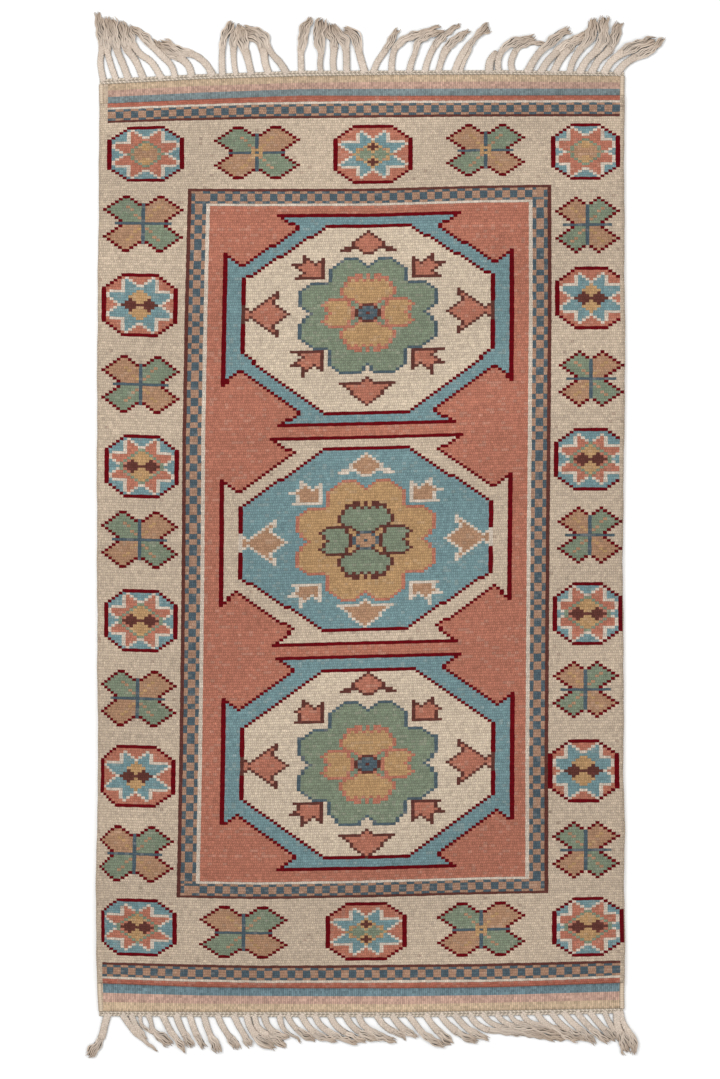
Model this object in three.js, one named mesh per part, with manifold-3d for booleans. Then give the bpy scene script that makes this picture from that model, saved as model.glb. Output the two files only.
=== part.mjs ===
// Small hand-knotted wool rug: a pile field between flat-woven ends, overcast side edges, and a
// fringe of plaited warp locks at each end.
// Millimetres, +Z up. The rug lies flat with its underside at Z = 0 and its length along Y. The
// origin is the middle of the underside.

import * as THREE from 'three';
import { mergeVertices } from 'three/addons/utils/BufferGeometryUtils.js';
import Module from 'manifold-3d';

const wasm = await Module();
wasm.setup();

// Thicknesses, all measured up from the floor
const PILE_TOP = 8;
const FLAT_WEAVE_TOP = 2.8;
const END_BAND_TOP = 3.6;
const SELVEDGE_TOP = 5.4;
const STEM_TOP = 3.2;
const LOCK_TIP_TOP = 2;

// Widths and gaps
const HALF_WIDTH = 350;
const SELVEDGE_WIDTH = 6.4;
const PARTING_GAP = 0.3;
const PILE_LEAN = 1.2;
const STEM_WIDTH = 8.4;
const TIP_SHARE = 0.5;
const TOP_FACE_SHARE = 0.8;

// Reach of a fringe point is measured outward from this distance to the rug's middle
const FRINGE_DATUM = 628;

// Where along a lock its plaited stem ends and where its loose yarns are widest
const STEM_END = 0.42;
const LOOSE_WIDEST = 0.72;

// Mesh steps
const BODY_COLUMNS = 14;
const FIELD_ROWS = 16;
const SELVEDGE_SIDES = 8;
const BAND_STEPS = 16;
const LOCK_STEPS = 7;

// Outer edge of the overcast sides, which wanders by a few millimetres along the rug
const SIDE_COLUMNS = ['y', 'left', 'right'];
const SIDES = [
  [-626, -349.5, 351.4],
  [-540, -352.4, 353.0],
  [-460, -353.0, 351.3],
  [-380, -351.5, 352.5],
  [-300, -349.8, 350.5],
  [-180, -350.8, 351.0],
  [-20, -351.3, 349.6],
  [100, -351.5, 351.0],
  [250, -351.0, 353.0],
  [350, -350.3, 352.0],
  [455, -349.0, 351.7],
  [545, -348.5, 351.5],
  [632, -348.6, 352.5],
];

// Lines that cross the rug at its two ends: outer side of the end band, outer side of the flat
// weave, and the line where the pile starts
const END_COLUMNS = ['x', 'bandTop', 'weaveTop', 'pileTop', 'pileBottom', 'weaveBottom', 'bandBottom'];
const ENDS = [
  [-350, 621.5, 614.0, 587.0, -582.0, -620.5, -627.0],
  [-214, 628.0, 621.3, 593.3, -587.3, -621.3, -628.0],
  [-81, 632.7, 625.3, 598.3, -588.7, -621.3, -628.2],
  [53, 633.0, 627.0, 598.0, -588.7, -621.8, -628.7],
  [186, 633.6, 627.5, 598.4, -587.3, -619.3, -626.7],
  [350, 631.2, 625.4, 598.8, -581.4, -616.6, -623.2],
];

// Fringe locks from left to right. A row stands for its own lock and for those that follow it in
// equal steps towards the next row. Root, knee and tip are places of the lock's middle line.
const LOCK_COLUMNS = ['locks', 'rootX', 'kneeX', 'kneeReach', 'tipX', 'tipReach', 'looseWidth'];
const TOP_LOCKS = [
  [4, -343, -347, 32, -349, 84, 10],
  [1, -263, -295, 30, -307, 68, 10],
  [1, -245, -273, 36, -295, 60, 13],
  [1, -223, -245, 20, -262, 35, 8],
  [1, -203, -226, 25, -266, 49, 13],
  [2, -184, -185, 36, -174, 71, 12],
  [1, -146, -154, 34, -152, 64, 10],
  [1, -124, -128, 36, -141, 58, 13],
  [1, -100, -109, 17, -116, 29, 7],
  [1, -79, -79, 32, -66, 78, 14],
  [1, -56, -56, 36, -54, 77, 13],
  [2, -39, -37, 34, -42, 72, 11],
  [1, 1, -3, 36, -17, 61, 12],
  [1, 21, 35, 33, 50, 60, 9],
  [1, 41, 52, 38, 103, 64, 9],
  [1, 65, 74, 38, 93, 50, 8],
  [1, 84, 98, 40, 132, 68, 10],
  [1, 104, 116, 34, 145, 62, 11],
  [1, 124, 140, 36, 171, 65, 12],
  [1, 171, 174, 14, 180, 31, 9],
  [1, 184, 198, 36, 234, 51, 9],
  [1, 201, 211, 32, 236, 42, 8],
  [1, 222, 243, 32, 270, 61, 11],
  [1, 240, 261, 32, 287, 53, 9],
  [1, 259, 273, 27, 285, 40, 9],
  [1, 278, 291, 32, 306, 74, 10],
  [2, 295, 313, 36, 319, 79, 13],
  [1, 328, 345, 30, 350, 71, 14],
  [1, 345, 366, 27, 405, 49, 18],
];
const BOTTOM_LOCKS = [
  [1, -334, -343, 22, -366, 54, 12],
  [1, -318, -303, 22, -272, 46, 8],
  [1, -301, -288, 15, -254, 37, 8],
  [1, -282, -278, 10, -262, 20, 7],
  [2, -264, -250, 22, -229, 42, 9],
  [1, -227, -219, 20, -206, 44, 9],
  [1, -210, -199, 24, -191, 47, 13],
  [2, -189, -177, 22, -160, 42, 9],
  [1, -152, -139, 18, -100, 43, 10],
  [1, -132, -121, 14, -100, 27, 9],
  [1, -108, -97, 13, -77, 34, 7],
  [1, -90, -68, 15, -32, 31, 9],
  [1, -64, -42, 16, -3, 35, 9],
  [1, -43, -27, 11, -12, 20, 7],
  [1, -22, -8, 14, 8, 34, 9],
  [1, 0, 14, 13, 40, 30, 10],
  [1, 20, 34, 13, 55, 31, 9],
  [1, 41, 58, 16, 101, 41, 9],
  [1, 62, 79, 15, 114, 40, 10],
  [2, 85, 97, 12, 127, 36, 9],
  [1, 122, 136, 13, 164, 28, 9],
  [1, 144, 176, 21, 264, 30, 12],
  [4, 163, 168, 3, 174, 8, 7],
  [1, 236, 242, 4, 249, 11, 7],
  [3, 253, 268, 9, 289, 31, 10],
  [1, 305, 320, 13, 331, 35, 10],
  [1, 323, 333, 14, 339, 27, 7],
  [1, 342, 349, 20, 362, 51, 16],
];

// Rows of a table as objects with the table's column names
function readTable(columns, rows) {
  return rows.map((row) => Object.fromEntries(columns.map((name, i) => [name, row[i]])));
}

// Value of one column of a table at a place between its rows
function columnAt(table, key, value, place) {
  const last = table.length - 1;
  if (place <= table[0][key]) return table[0][value];
  if (place >= table[last][key]) return table[last][value];
  const next = table.findIndex((row) => row[key] > place);
  const from = table[next - 1];
  const share = (place - from[key]) / (table[next][key] - from[key]);
  return THREE.MathUtils.lerp(from[value], table[next][value], share);
}

const sides = readTable(SIDE_COLUMNS, SIDES);
const ends = readTable(END_COLUMNS, ENDS);
const sideAt = (side, y) => columnAt(sides, 'y', side, y);
const endAt = (line, x) => columnAt(ends, 'x', line, x);

// Moves every point of a geometry and leaves it as one closed mesh with shared vertices
function reshape(geometry, place) {
  geometry.deleteAttribute('normal');
  geometry.deleteAttribute('uv');
  const merged = mergeVertices(geometry);
  const positions = merged.getAttribute('position');
  for (let i = 0; i < positions.count; i += 1) {
    const moved = place(positions.getX(i), positions.getY(i), positions.getZ(i));
    positions.setXYZ(i, moved.x, moved.y, moved.z);
  }
  merged.computeVertexNormals();
  return merged;
}

// Lines across the rug at which the body and its side edges have their points, from the bottom
// end to the top end, with the height of the body's top there
function makeRowLines() {
  const field = Array.from({ length: FIELD_ROWS - 1 }, (_, i) => {
    return { share: (i + 1) / FIELD_ROWS, top: PILE_TOP };
  });
  return [
    { line: 'weaveBottom', shift: 0, top: FLAT_WEAVE_TOP },
    { line: 'pileBottom', shift: -PILE_LEAN, top: FLAT_WEAVE_TOP },
    { line: 'pileBottom', shift: PILE_LEAN, top: PILE_TOP },
    ...field,
    { line: 'pileTop', shift: -PILE_LEAN, top: PILE_TOP },
    { line: 'pileTop', shift: PILE_LEAN, top: FLAT_WEAVE_TOP },
    { line: 'weaveTop', shift: 0, top: FLAT_WEAVE_TOP },
  ];
}

const rowLines = makeRowLines();
const rowSteps = rowLines.length - 1;

function rowY(row, x) {
  if (row.line) return endAt(row.line, x) + row.shift;
  return THREE.MathUtils.lerp(endAt('pileBottom', x), endAt('pileTop', x), row.share);
}

// Woven body: a slab whose top steps down from the pile to the flat weave at each end
function makeWovenBody() {
  const inset = SELVEDGE_WIDTH + PARTING_GAP;
  const slab = new THREE.BoxGeometry(1, 1, 1, BODY_COLUMNS, rowSteps, 1);
  return reshape(slab, (u, v, w) => {
    const row = rowLines[Math.round((v + 0.5) * rowSteps)];
    const y = rowY(row, THREE.MathUtils.lerp(-HALF_WIDTH, HALF_WIDTH, u + 0.5));
    const x = THREE.MathUtils.lerp(sideAt('left', y) + inset, sideAt('right', y) - inset, u + 0.5);
    return new THREE.Vector3(x, y, w > 0 ? row.top : 0);
  });
}

// Overcast side edge: a flat-bottomed round binding that follows the wandering side of the rug
function makeSelvedge(side) {
  const inward = side === 'left' ? 1 : -1;
  const turn = Math.PI / SELVEDGE_SIDES;
  const flat = Math.cos(turn);
  const binding = new THREE.CylinderGeometry(1, 1, 1, SELVEDGE_SIDES, rowSteps);
  binding.rotateY(turn);
  return reshape(binding, (across, along, up) => {
    const row = rowLines[Math.round((along + 0.5) * rowSteps)];
    const y = rowY(row, -inward * HALF_WIDTH);
    const middle = sideAt(side, y) + (inward * SELVEDGE_WIDTH) / 2;
    const x = middle + (across / flat) * (SELVEDGE_WIDTH / 2);
    return new THREE.Vector3(x, y, (1 + up / flat) * (SELVEDGE_TOP / 2));
  });
}

// Twined end band that the fringe locks come out of
function makeEndBand(end) {
  const sign = end === 'Top' ? 1 : -1;
  const band = new THREE.BoxGeometry(1, 1, 1, BAND_STEPS, 1, 1);
  return reshape(band, (u, v, w) => {
    const nearY = sign * FRINGE_DATUM;
    const x = THREE.MathUtils.lerp(sideAt('left', nearY), sideAt('right', nearY), u + 0.5);
    const isOuter = v * sign > 0;
    const y = isOuter ? endAt(`band${end}`, x) : endAt(`weave${end}`, x) + sign * PARTING_GAP;
    return new THREE.Vector3(x, y, w > 0 ? END_BAND_TOP : 0);
  });
}

// One row for each lock, with the rows between two table rows worked out in equal steps
function spreadLocks(rows) {
  const table = readTable(LOCK_COLUMNS, rows);
  return table.flatMap((row, index) => {
    const next = table[index + 1] ?? row;
    return Array.from({ length: row.locks }, (_, step) => {
      const share = step / row.locks;
      const pairs = LOCK_COLUMNS.map((name) => [name, THREE.MathUtils.lerp(row[name], next[name], share)]);
      return Object.fromEntries(pairs);
    });
  });
}

// Middle line of a lock: the parabola from its root through its knee to its tip
function lockLine(root, knee, tip) {
  const toKnee = root.distanceTo(knee);
  const at = toKnee / (toKnee + knee.distanceTo(tip));
  const pull = knee.clone();
  pull.addScaledVector(root, -((1 - at) ** 2));
  pull.addScaledVector(tip, -(at ** 2));
  pull.divideScalar(2 * at * (1 - at));
  return new THREE.QuadraticBezierCurve(root, pull, tip);
}

// Width of a lock along its length: even over the plaited stem, fuller in the loose yarns, and
// drawn in at the tip
function lockWidth(share, looseWidth) {
  if (share < STEM_END) return STEM_WIDTH;
  if (share < LOOSE_WIDEST) {
    const swell = THREE.MathUtils.smoothstep(share, STEM_END, LOOSE_WIDEST);
    return THREE.MathUtils.lerp(STEM_WIDTH, looseWidth, swell);
  }
  const draw = (share - LOOSE_WIDEST) / (1 - LOOSE_WIDEST);
  return looseWidth * THREE.MathUtils.lerp(1, TIP_SHARE, draw);
}

// One fringe lock, four-sided, lying level on the floor from the end band to its tip
function makeLock(lock, end) {
  const sign = end === 'Top' ? 1 : -1;
  const outward = (x, reach) => new THREE.Vector2(x, sign * (FRINGE_DATUM + reach));
  const bandMiddle = (endAt(`band${end}`, lock.rootX) + endAt(`weave${end}`, lock.rootX)) / 2;
  const root = new THREE.Vector2(lock.rootX, bandMiddle);
  const line = lockLine(root, outward(lock.kneeX, lock.kneeReach), outward(lock.tipX, lock.tipReach));
  const strand = new THREE.BoxGeometry(1, 1, 1, 1, LOCK_STEPS, 1);
  return reshape(strand, (u, v, w) => {
    const share = v + 0.5;
    const middle = line.getPoint(share);
    const heading = line.getTangent(share);
    const half = lockWidth(share, lock.looseWidth) * u * (w > 0 ? TOP_FACE_SHARE : 1);
    const x = middle.x + heading.y * half;
    const y = middle.y - heading.x * half;
    return new THREE.Vector3(x, y, w > 0 ? THREE.MathUtils.lerp(STEM_TOP, LOCK_TIP_TOP, share) : 0);
  });
}

// A closed mesh as a solid that can be joined, and back again
function toSolid(geometry) {
  const vertProperties = new Float32Array(geometry.getAttribute('position').array);
  const triVerts = new Uint32Array(geometry.getIndex().array);
  return new wasm.Manifold(new wasm.Mesh({ numProp: 3, vertProperties, triVerts }));
}

function toGeometry(solid) {
  const mesh = solid.getMesh();
  const geometry = new THREE.BufferGeometry();
  geometry.setAttribute('position', new THREE.BufferAttribute(mesh.vertProperties, 3));
  geometry.setIndex(new THREE.BufferAttribute(mesh.triVerts, 1));
  geometry.computeVertexNormals();
  return geometry;
}

// The end band with all the locks of that end fused to it by their roots
function makeFringe(end, rows) {
  const strands = spreadLocks(rows).map((lock) => makeLock(lock, end));
  const band = toSolid(makeEndBand(end));
  return toGeometry(strands.reduce((joined, strand) => joined.add(toSolid(strand)), band));
}

const pileWool = new THREE.MeshStandardMaterial({ color: 0xa9776a, roughness: 0.95, metalness: 0 });
const edgeWool = new THREE.MeshStandardMaterial({ color: 0xb8a28c, roughness: 0.9, metalness: 0 });
const warpYarn = new THREE.MeshStandardMaterial({ color: 0xc4b4a2, roughness: 0.9, metalness: 0 });

const rug = new THREE.Group();

function addPiece(name, geometry, material) {
  const piece = new THREE.Mesh(geometry, material);
  piece.name = name;
  rug.add(piece);
}

addPiece('woven_body', makeWovenBody(), pileWool);
addPiece('selvedge_left', makeSelvedge('left'), edgeWool);
addPiece('selvedge_right', makeSelvedge('right'), edgeWool);
addPiece('fringe_top', makeFringe('Top', TOP_LOCKS), warpYarn);
addPiece('fringe_bottom', makeFringe('Bottom', BOTTOM_LOCKS), warpYarn);

export default rug;
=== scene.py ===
"""Small hand-knotted Turkish rug, laid flat on a pale floor.

Places of motifs, knots and fringe are counted in pixels of the photograph, at 4/3 mm each, and the
pattern is woven knot by knot into one closed sheet. Side edges, end bands and fringe are yarn
pieces of their own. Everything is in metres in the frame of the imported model.
"""

import logging
import math
from dataclasses import dataclass
from enum import Enum
from typing import Callable, Iterable, Optional, Sequence, Union

import bmesh
import bpy
import numpy as np
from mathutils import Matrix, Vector

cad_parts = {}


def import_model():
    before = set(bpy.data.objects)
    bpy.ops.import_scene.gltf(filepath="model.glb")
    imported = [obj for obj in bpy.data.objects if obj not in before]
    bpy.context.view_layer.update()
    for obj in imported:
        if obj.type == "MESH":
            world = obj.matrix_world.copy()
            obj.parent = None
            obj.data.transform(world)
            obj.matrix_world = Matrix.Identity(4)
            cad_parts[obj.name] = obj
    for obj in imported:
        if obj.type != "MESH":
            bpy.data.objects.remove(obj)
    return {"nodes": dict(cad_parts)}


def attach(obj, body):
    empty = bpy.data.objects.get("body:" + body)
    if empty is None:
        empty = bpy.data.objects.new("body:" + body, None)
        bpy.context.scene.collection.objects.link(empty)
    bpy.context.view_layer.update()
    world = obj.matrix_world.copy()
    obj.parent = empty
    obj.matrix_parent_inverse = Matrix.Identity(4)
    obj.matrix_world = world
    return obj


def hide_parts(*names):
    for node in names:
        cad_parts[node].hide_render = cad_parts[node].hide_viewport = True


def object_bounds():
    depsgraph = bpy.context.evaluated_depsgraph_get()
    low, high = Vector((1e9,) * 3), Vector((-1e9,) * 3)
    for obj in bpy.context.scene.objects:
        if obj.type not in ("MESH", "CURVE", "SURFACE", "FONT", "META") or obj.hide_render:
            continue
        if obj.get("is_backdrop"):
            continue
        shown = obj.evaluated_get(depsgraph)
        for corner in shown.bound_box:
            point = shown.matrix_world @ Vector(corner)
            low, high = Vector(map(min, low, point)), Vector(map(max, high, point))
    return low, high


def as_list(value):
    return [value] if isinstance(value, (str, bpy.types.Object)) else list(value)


# Width on the rug of one pixel of the photograph
PHOTO_PIXEL = 0.004 / 3
MM = 0.001
Point = tuple[float, float]
Centre = tuple[float, int]
Relief = Callable[[np.ndarray, np.ndarray], np.ndarray]

log = logging.getLogger("rug")


class Wool(Enum):
    """Dyed wools of the pile and the flat weave, as the sRGB colour of the finished cloth."""

    IVORY = "b8a692"
    CREAM = "c2b19c"
    WHITE = "c0b2a3"
    MADDER = "a66a57"
    CRIMSON = "5e050e"
    BROWN = "5a332d"
    SKY = "6c8689"
    SLATE = "4a575e"
    SAGE = "757f6b"
    GOLD = "aa8760"
    TAN = "a07c62"
    CHECK_TAN = "9c7a65"
    ROSE = "a0604f"
    KILIM_TAN = "b9a288"
    KILIM_PINK = "b29283"
    KILIM_BLUE = "768385"
    KILIM_DEEP = "667b81"


WOOLS = list(Wool)
WOOL_INDEX = {wool: index for index, wool in enumerate(WOOLS)}


def linear(code: str) -> tuple[float, float, float]:
    """Linear colour of a six-digit sRGB code."""
    parts = [int(code[i : i + 2], 16) / 255 for i in (0, 2, 4)]
    return tuple(c / 12.92 if c <= 0.04045 else ((c + 0.055) / 1.055) ** 2.4 for c in parts)


# Outer edge of the side bindings in millimetres: place along the rug, left edge, right edge.
# Measured on the photograph by a small program, then rounded
SIDES = np.array([
    [-626, -349.5, 351.4], [-540, -352.4, 353.0], [-460, -353.0, 351.3], [-380, -351.5, 352.5],
    [-300, -349.8, 350.5], [-180, -350.8, 351.0], [-20, -351.3, 349.6], [100, -351.5, 351.0],
    [250, -351.0, 353.0], [350, -350.3, 352.0], [455, -349.0, 351.7], [545, -348.5, 351.5],
    [632, -348.6, 352.5],
]) * MM

# Lines across the two ends in millimetres: place across the rug, then outer side of the band and
# of the flat weave at the top, start of the pile at top and bottom, and the same at the bottom
ENDS = np.array([
    [-350, 621.5, 614.0, 587.0, -582.0, -620.5, -627.0],
    [-214, 628.0, 621.3, 593.3, -587.3, -621.3, -628.0],
    [-81, 632.7, 625.3, 598.3, -588.7, -621.3, -628.2],
    [53, 633.0, 627.0, 598.0, -588.7, -621.8, -628.7],
    [186, 633.6, 627.5, 598.4, -587.3, -619.3, -626.7],
    [350, 631.2, 625.4, 598.8, -581.4, -616.6, -623.2],
]) * MM
END_LINES = ["x", "band_top", "weave_top", "pile_top", "pile_bottom", "weave_bottom", "band_bottom"]

# Fringe locks in pixels of the photograph, from its top left corner, as across, down and width.
# Each row starts with the number of the point where the plait ends and the loose yarns begin
TOP_LOCKS = [
    (2, (103.5, 78, 7.5), (100.5, 61, 7), (102, 49, 7), (102, 34, 11), (99, 22, 9), (97.5, 12, 6)),
    (2, (116.5, 79, 7), (110, 62, 7), (107.5, 52, 7), (108, 38, 11), (107, 24, 10), (106, 16, 8)),
    (2, (129, 78, 8), (122, 62, 8), (117.5, 51, 8), (115, 38, 11), (113, 26, 11), (112, 17, 9)),
    (2, (144, 77, 8), (135, 60, 8), (128, 50, 9), (124, 38, 12), (122, 28, 11), (120, 20, 9)),
    (3, (162, 76, 8), (150, 61, 8), (140, 54, 8), (134, 46, 8), (130, 37, 9), (127, 24, 8)),
    (3, (175.5, 76, 7), (172, 67, 7), (162, 56, 8), (152, 46, 8), (145, 38, 10), (137, 31, 9),
     (131, 27, 5)),
    (2, (192, 76, 8), (189, 67, 8), (180, 58, 9), (166, 53, 10), (158, 46, 9), (152, 39, 6)),
    (3, (213, 77, 9), (208, 67, 8), (199, 58, 8), (191, 54, 8), (180, 52, 10), (168, 46, 12),
     (158, 41, 6)),
    (2, (222.5, 76, 7.5), (222, 60, 7), (222.5, 48, 7), (224, 38, 9), (229, 29, 9), (234, 21, 6)),
    (2, (236, 76, 6), (234, 62, 6), (233.5, 50, 7), (234, 40, 9), (237, 31, 8), (239, 23, 3)),
    (2, (251.5, 75, 7.5), (249, 64, 7.5), (246, 53, 9), (243, 43, 13), (242, 34, 11), (241, 25, 5)),
    (3, (287, 75, 8), (280, 63, 8), (272, 54, 7), (268, 47, 7), (265, 37, 8), (254, 30, 7),
     (242, 28, 4)),
    (2, (269, 75, 8), (265, 62, 8), (263.5, 51, 9), (260, 41, 12), (249, 34, 11), (236, 31, 6)),
    (2, (301.5, 75, 7), (301, 62, 7), (301, 52, 7), (303, 41, 12), (305, 29, 10), (312, 17, 5)),
    (2, (321, 75, 6), (320, 65, 6), (321, 52, 7), (319, 41, 13), (320, 28, 12), (323, 17, 9)),
    (2, (334, 74, 7), (333, 62, 7), (334, 50, 8), (334, 41, 11), (330, 31, 11), (331, 22, 7)),
    (2, (365, 73, 8), (361, 60, 8), (358.5, 50, 8), (357, 41, 10), (352, 33, 11), (342, 29, 7)),
    (2, (346.5, 73, 7.5), (346.5, 60, 7.5), (346, 50, 8), (344, 42, 11), (338, 34, 11), (333, 25, 7)),
    (2, (373, 73, 7), (377, 63, 7), (385, 51, 7), (390, 43, 7), (394, 35, 7), (399, 28, 7)),
    (2, (391.5, 72, 7.5), (392, 61, 7), (395, 49, 7), (404, 40, 9), (420, 34, 7), (441, 25.5, 3)),
    (2, (409, 72, 7), (411, 64, 7), (415, 53, 6), (417, 44, 8), (425, 37, 8), (445, 31, 4)),
    (2, (424.5, 71, 7), (427, 63, 7), (433, 49, 7), (441, 38, 8), (450, 31, 7), (461, 23, 4)),
    (2, (438, 71, 7), (441, 62, 7), (446, 50, 9), (453, 42, 9), (461, 36, 8), (470, 29, 7)),
    (2, (460, 71, 5), (465, 60, 4), (470, 51, 3), (472, 46, 2), (477, 38, 2), (484, 33, 2)),
    (2, (454, 70, 7), (459, 61, 8), (468, 46, 7), (474, 39, 6), (481, 32, 8), (491, 26, 13)),
    (2, (489, 71, 9), (490, 62, 8.5), (495, 53, 5), (496, 51, 3)),
    (2, (498.5, 72, 7), (498, 61, 7), (502, 51, 7), (510, 44, 9), (522, 40, 8), (536, 37, 5)),
    (2, (512.5, 72, 7), (511, 63, 7), (514, 54, 7), (519, 47, 7), (532, 43, 6), (552, 46, 4)),
    (2, (540, 70, 8), (548, 61, 8), (556, 53, 8), (565, 45, 9), (578, 39, 8), (590, 33, 6)),
    (2, (527, 71, 9), (533, 62, 8), (541, 51, 8), (549, 44, 9), (559, 35, 10), (571, 29, 8)),
    (2, (553, 71, 8), (560, 60, 8), (567, 51, 8), (575, 42, 9), (583, 36, 8), (589, 31, 6)),
    (2, (569, 71, 7), (573, 61, 7), (580, 50, 8), (588, 41, 10), (592, 30, 12), (593, 17, 10)),
    (2, (579, 71, 9), (587, 60, 8), (597, 50, 9), (603, 39, 11), (603, 27, 12), (605, 15, 9)),
    (2, (591, 71, 9), (598, 61, 8), (609, 50, 9), (613, 41, 10), (616, 31, 11), (620, 21, 9)),
    (2, (616, 72, 9), (625, 64, 8), (634, 58, 8), (645, 53, 9), (656, 46, 8), (665, 37, 4)),
    (2, (603.5, 71, 9), (610, 63, 8), (621, 54, 9), (632, 48, 12), (646, 43, 10), (657, 39, 6)),
]
BOTTOM_LOCKS = [
    (2, (108, 1013, 8), (105, 1024, 8), (102, 1036, 8), (97, 1045, 9), (92, 1051, 11), (87, 1057, 11)),
    (2, (122, 1015, 7), (130, 1025, 7), (137, 1034, 6), (143, 1039, 4), (150, 1045, 3), (159, 1051, 2)),
    (2, (131, 1014, 7), (136, 1025, 6), (141, 1032, 6), (145, 1036, 4), (148, 1038, 2)),
    (1, (140, 1015, 4), (142, 1025, 4), (148, 1030, 4), (155, 1034, 3), (162, 1036, 3)),
    (2, (148, 1013, 7), (151, 1022, 5), (153, 1030, 6), (160, 1036, 10), (167, 1041, 10), (172, 1046, 7)),
    (2, (162, 1014, 7.5), (167, 1024, 7), (172, 1033, 7), (178, 1040, 7), (182, 1046, 6), (186, 1053, 3)),
    (2, (176, 1014, 7.5), (180, 1025, 7.5), (184, 1033, 7), (187, 1038, 8), (190, 1043, 8), (192, 1048, 7)),
    (2, (189.5, 1014, 7), (192.5, 1024, 7), (196, 1033, 7), (199, 1039, 8), (202, 1044, 8), (205, 1049, 7)),
    (2, (203.5, 1014, 7), (207, 1026, 7), (211, 1036, 7), (214, 1041, 9), (217, 1047, 11), (219, 1053, 10)),
    (2, (217, 1015, 7), (222, 1025, 7), (229, 1036, 7), (232, 1040, 9), (236, 1045, 11), (237, 1050, 10)),
    (2, (233.5, 1015, 7.5), (238, 1024, 7), (245, 1036, 7), (247, 1040, 8), (249, 1044, 8), (251, 1047, 7)),
    (2, (246.5, 1015, 7.5), (250, 1026, 7.5), (255, 1034, 8), (261, 1040, 10), (269, 1044, 11),
     (276, 1049, 9)),
    (2, (254, 1016, 6), (258, 1027, 7), (266, 1034, 8), (273, 1038, 9), (280, 1042, 9), (286, 1048, 7)),
    (2, (264, 1015, 8), (267, 1024, 7), (273, 1031, 7), (278, 1034, 7), (284, 1036, 6), (290, 1037, 3)),
    (2, (279.5, 1014, 7), (281, 1023, 6), (284, 1029, 5), (289, 1033, 4), (296, 1037, 3), (302, 1042, 3)),
    (2, (287, 1014, 7), (291, 1022, 6), (296, 1028, 6), (302, 1033, 8), (309, 1037, 8), (317, 1041, 6)),
    (2, (301, 1013, 8), (306, 1023, 7), (313, 1031, 7), (319, 1035, 8), (327, 1038, 7), (338, 1040, 5)),
    (2, (314, 1014, 7), (319, 1023, 7), (328, 1031, 7), (337, 1036, 7), (347, 1040, 6), (358, 1043, 4)),
    (2, (329.5, 1014, 7), (335, 1024, 7), (343, 1031, 7), (351, 1035, 7), (359, 1039, 6), (367, 1042, 4)),
    (2, (345, 1014, 8), (350, 1023, 7), (357, 1030, 7), (363, 1034, 8), (371, 1037, 8), (380, 1040, 6)),
    (2, (358, 1014, 7), (362, 1023, 7), (370, 1030, 7), (377, 1034, 8), (386, 1038, 8), (397, 1041, 6)),
    (2, (376, 1015, 7), (383, 1024, 7), (391, 1030, 7), (397, 1033, 6), (403, 1036, 4), (406, 1041, 3)),
    (2, (391.5, 1014, 7), (397, 1022, 7.5), (404, 1029, 8), (409, 1032, 7), (414, 1035, 6), (419, 1037, 4)),
    (2, (408, 1014, 7), (414, 1022, 7), (421, 1031, 7), (427, 1036, 8), (435, 1041, 8), (446, 1046, 6)),
    (2, (425, 1014, 7.5), (431, 1023, 7), (437, 1030, 8), (442, 1035, 9), (447, 1040, 9), (453, 1044, 6)),
    (2, (440, 1014, 7), (447, 1023, 7), (454, 1029, 8), (461, 1034, 8), (469, 1038, 8), (479, 1041, 5)),
    (2, (454, 1014, 7), (461, 1022, 7), (470, 1030, 7), (476, 1033, 8), (482, 1036, 7), (490, 1039, 5)),
    (2, (469, 1013, 7.5), (475, 1022, 7), (486, 1029, 7), (500, 1031, 7), (522, 1033, 7), (568, 1040, 5)),
    (2, (482, 1013, 7), (489, 1021, 6), (499, 1026, 6), (514, 1029, 7), (532, 1033, 7), (556, 1040, 5)),
    (2, (496, 1013, 7), (502, 1020, 6), (511, 1025, 6), (524, 1027, 6), (540, 1029, 6), (562, 1034, 5)),
    (2, (509.5, 1013, 6), (513, 1019, 5), (519, 1023, 6), (530, 1024, 6), (545, 1027, 7), (566, 1031, 6)),
    (2, (522, 1013, 7), (526, 1019, 6), (533, 1023, 5), (542, 1025, 5), (553, 1028, 6), (568, 1034, 5)),
    (2, (536, 1013, 7), (543, 1021, 7), (552, 1027, 6), (560, 1032, 7), (570, 1037, 7), (580, 1041, 5)),
    (2, (551, 1012, 7), (558, 1021, 7), (567, 1029, 7), (573, 1033, 7), (581, 1037, 7), (590, 1040, 5)),
    (2, (563, 1012, 7), (571, 1021, 7), (579, 1028, 7), (585, 1033, 8), (590, 1038, 7), (596, 1044, 4)),
    (2, (576, 1012, 7), (584, 1021, 7), (592, 1029, 7), (597, 1033, 8), (602, 1037, 8), (609, 1043, 6)),
    (2, (589, 1012, 7), (596, 1020, 7), (603, 1028, 7), (607, 1032, 8), (611, 1037, 7), (616, 1041, 4)),
    (2, (604, 1012, 6), (608, 1020, 6), (613, 1029, 6), (615, 1033, 6), (617, 1037, 5), (619, 1041, 3)),
    (2, (621, 1012, 5), (623, 1022, 6), (628, 1031, 7), (632, 1038, 8), (634, 1046, 7), (633, 1055, 6)),
    (2, (617, 1012, 9), (617, 1022, 8), (619, 1031, 9), (622, 1037, 12), (625, 1045, 13), (629, 1054, 11)),
]
# Point of the photograph that shows the middle of the rug
PHOTO_MIDDLE = (360.5, 545.5)


def side_at(side: str, y: np.ndarray) -> np.ndarray:
    """Outer edge of a side binding at places along the rug."""
    return np.interp(y, SIDES[:, 0], SIDES[:, 1 if side == "left" else 2])


def end_at(line: str, x: np.ndarray) -> np.ndarray:
    """Place along the rug of one of the lines across the ends, at places across the rug."""
    return np.interp(x, ENDS[:, 0], ENDS[:, END_LINES.index(line)])


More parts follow.
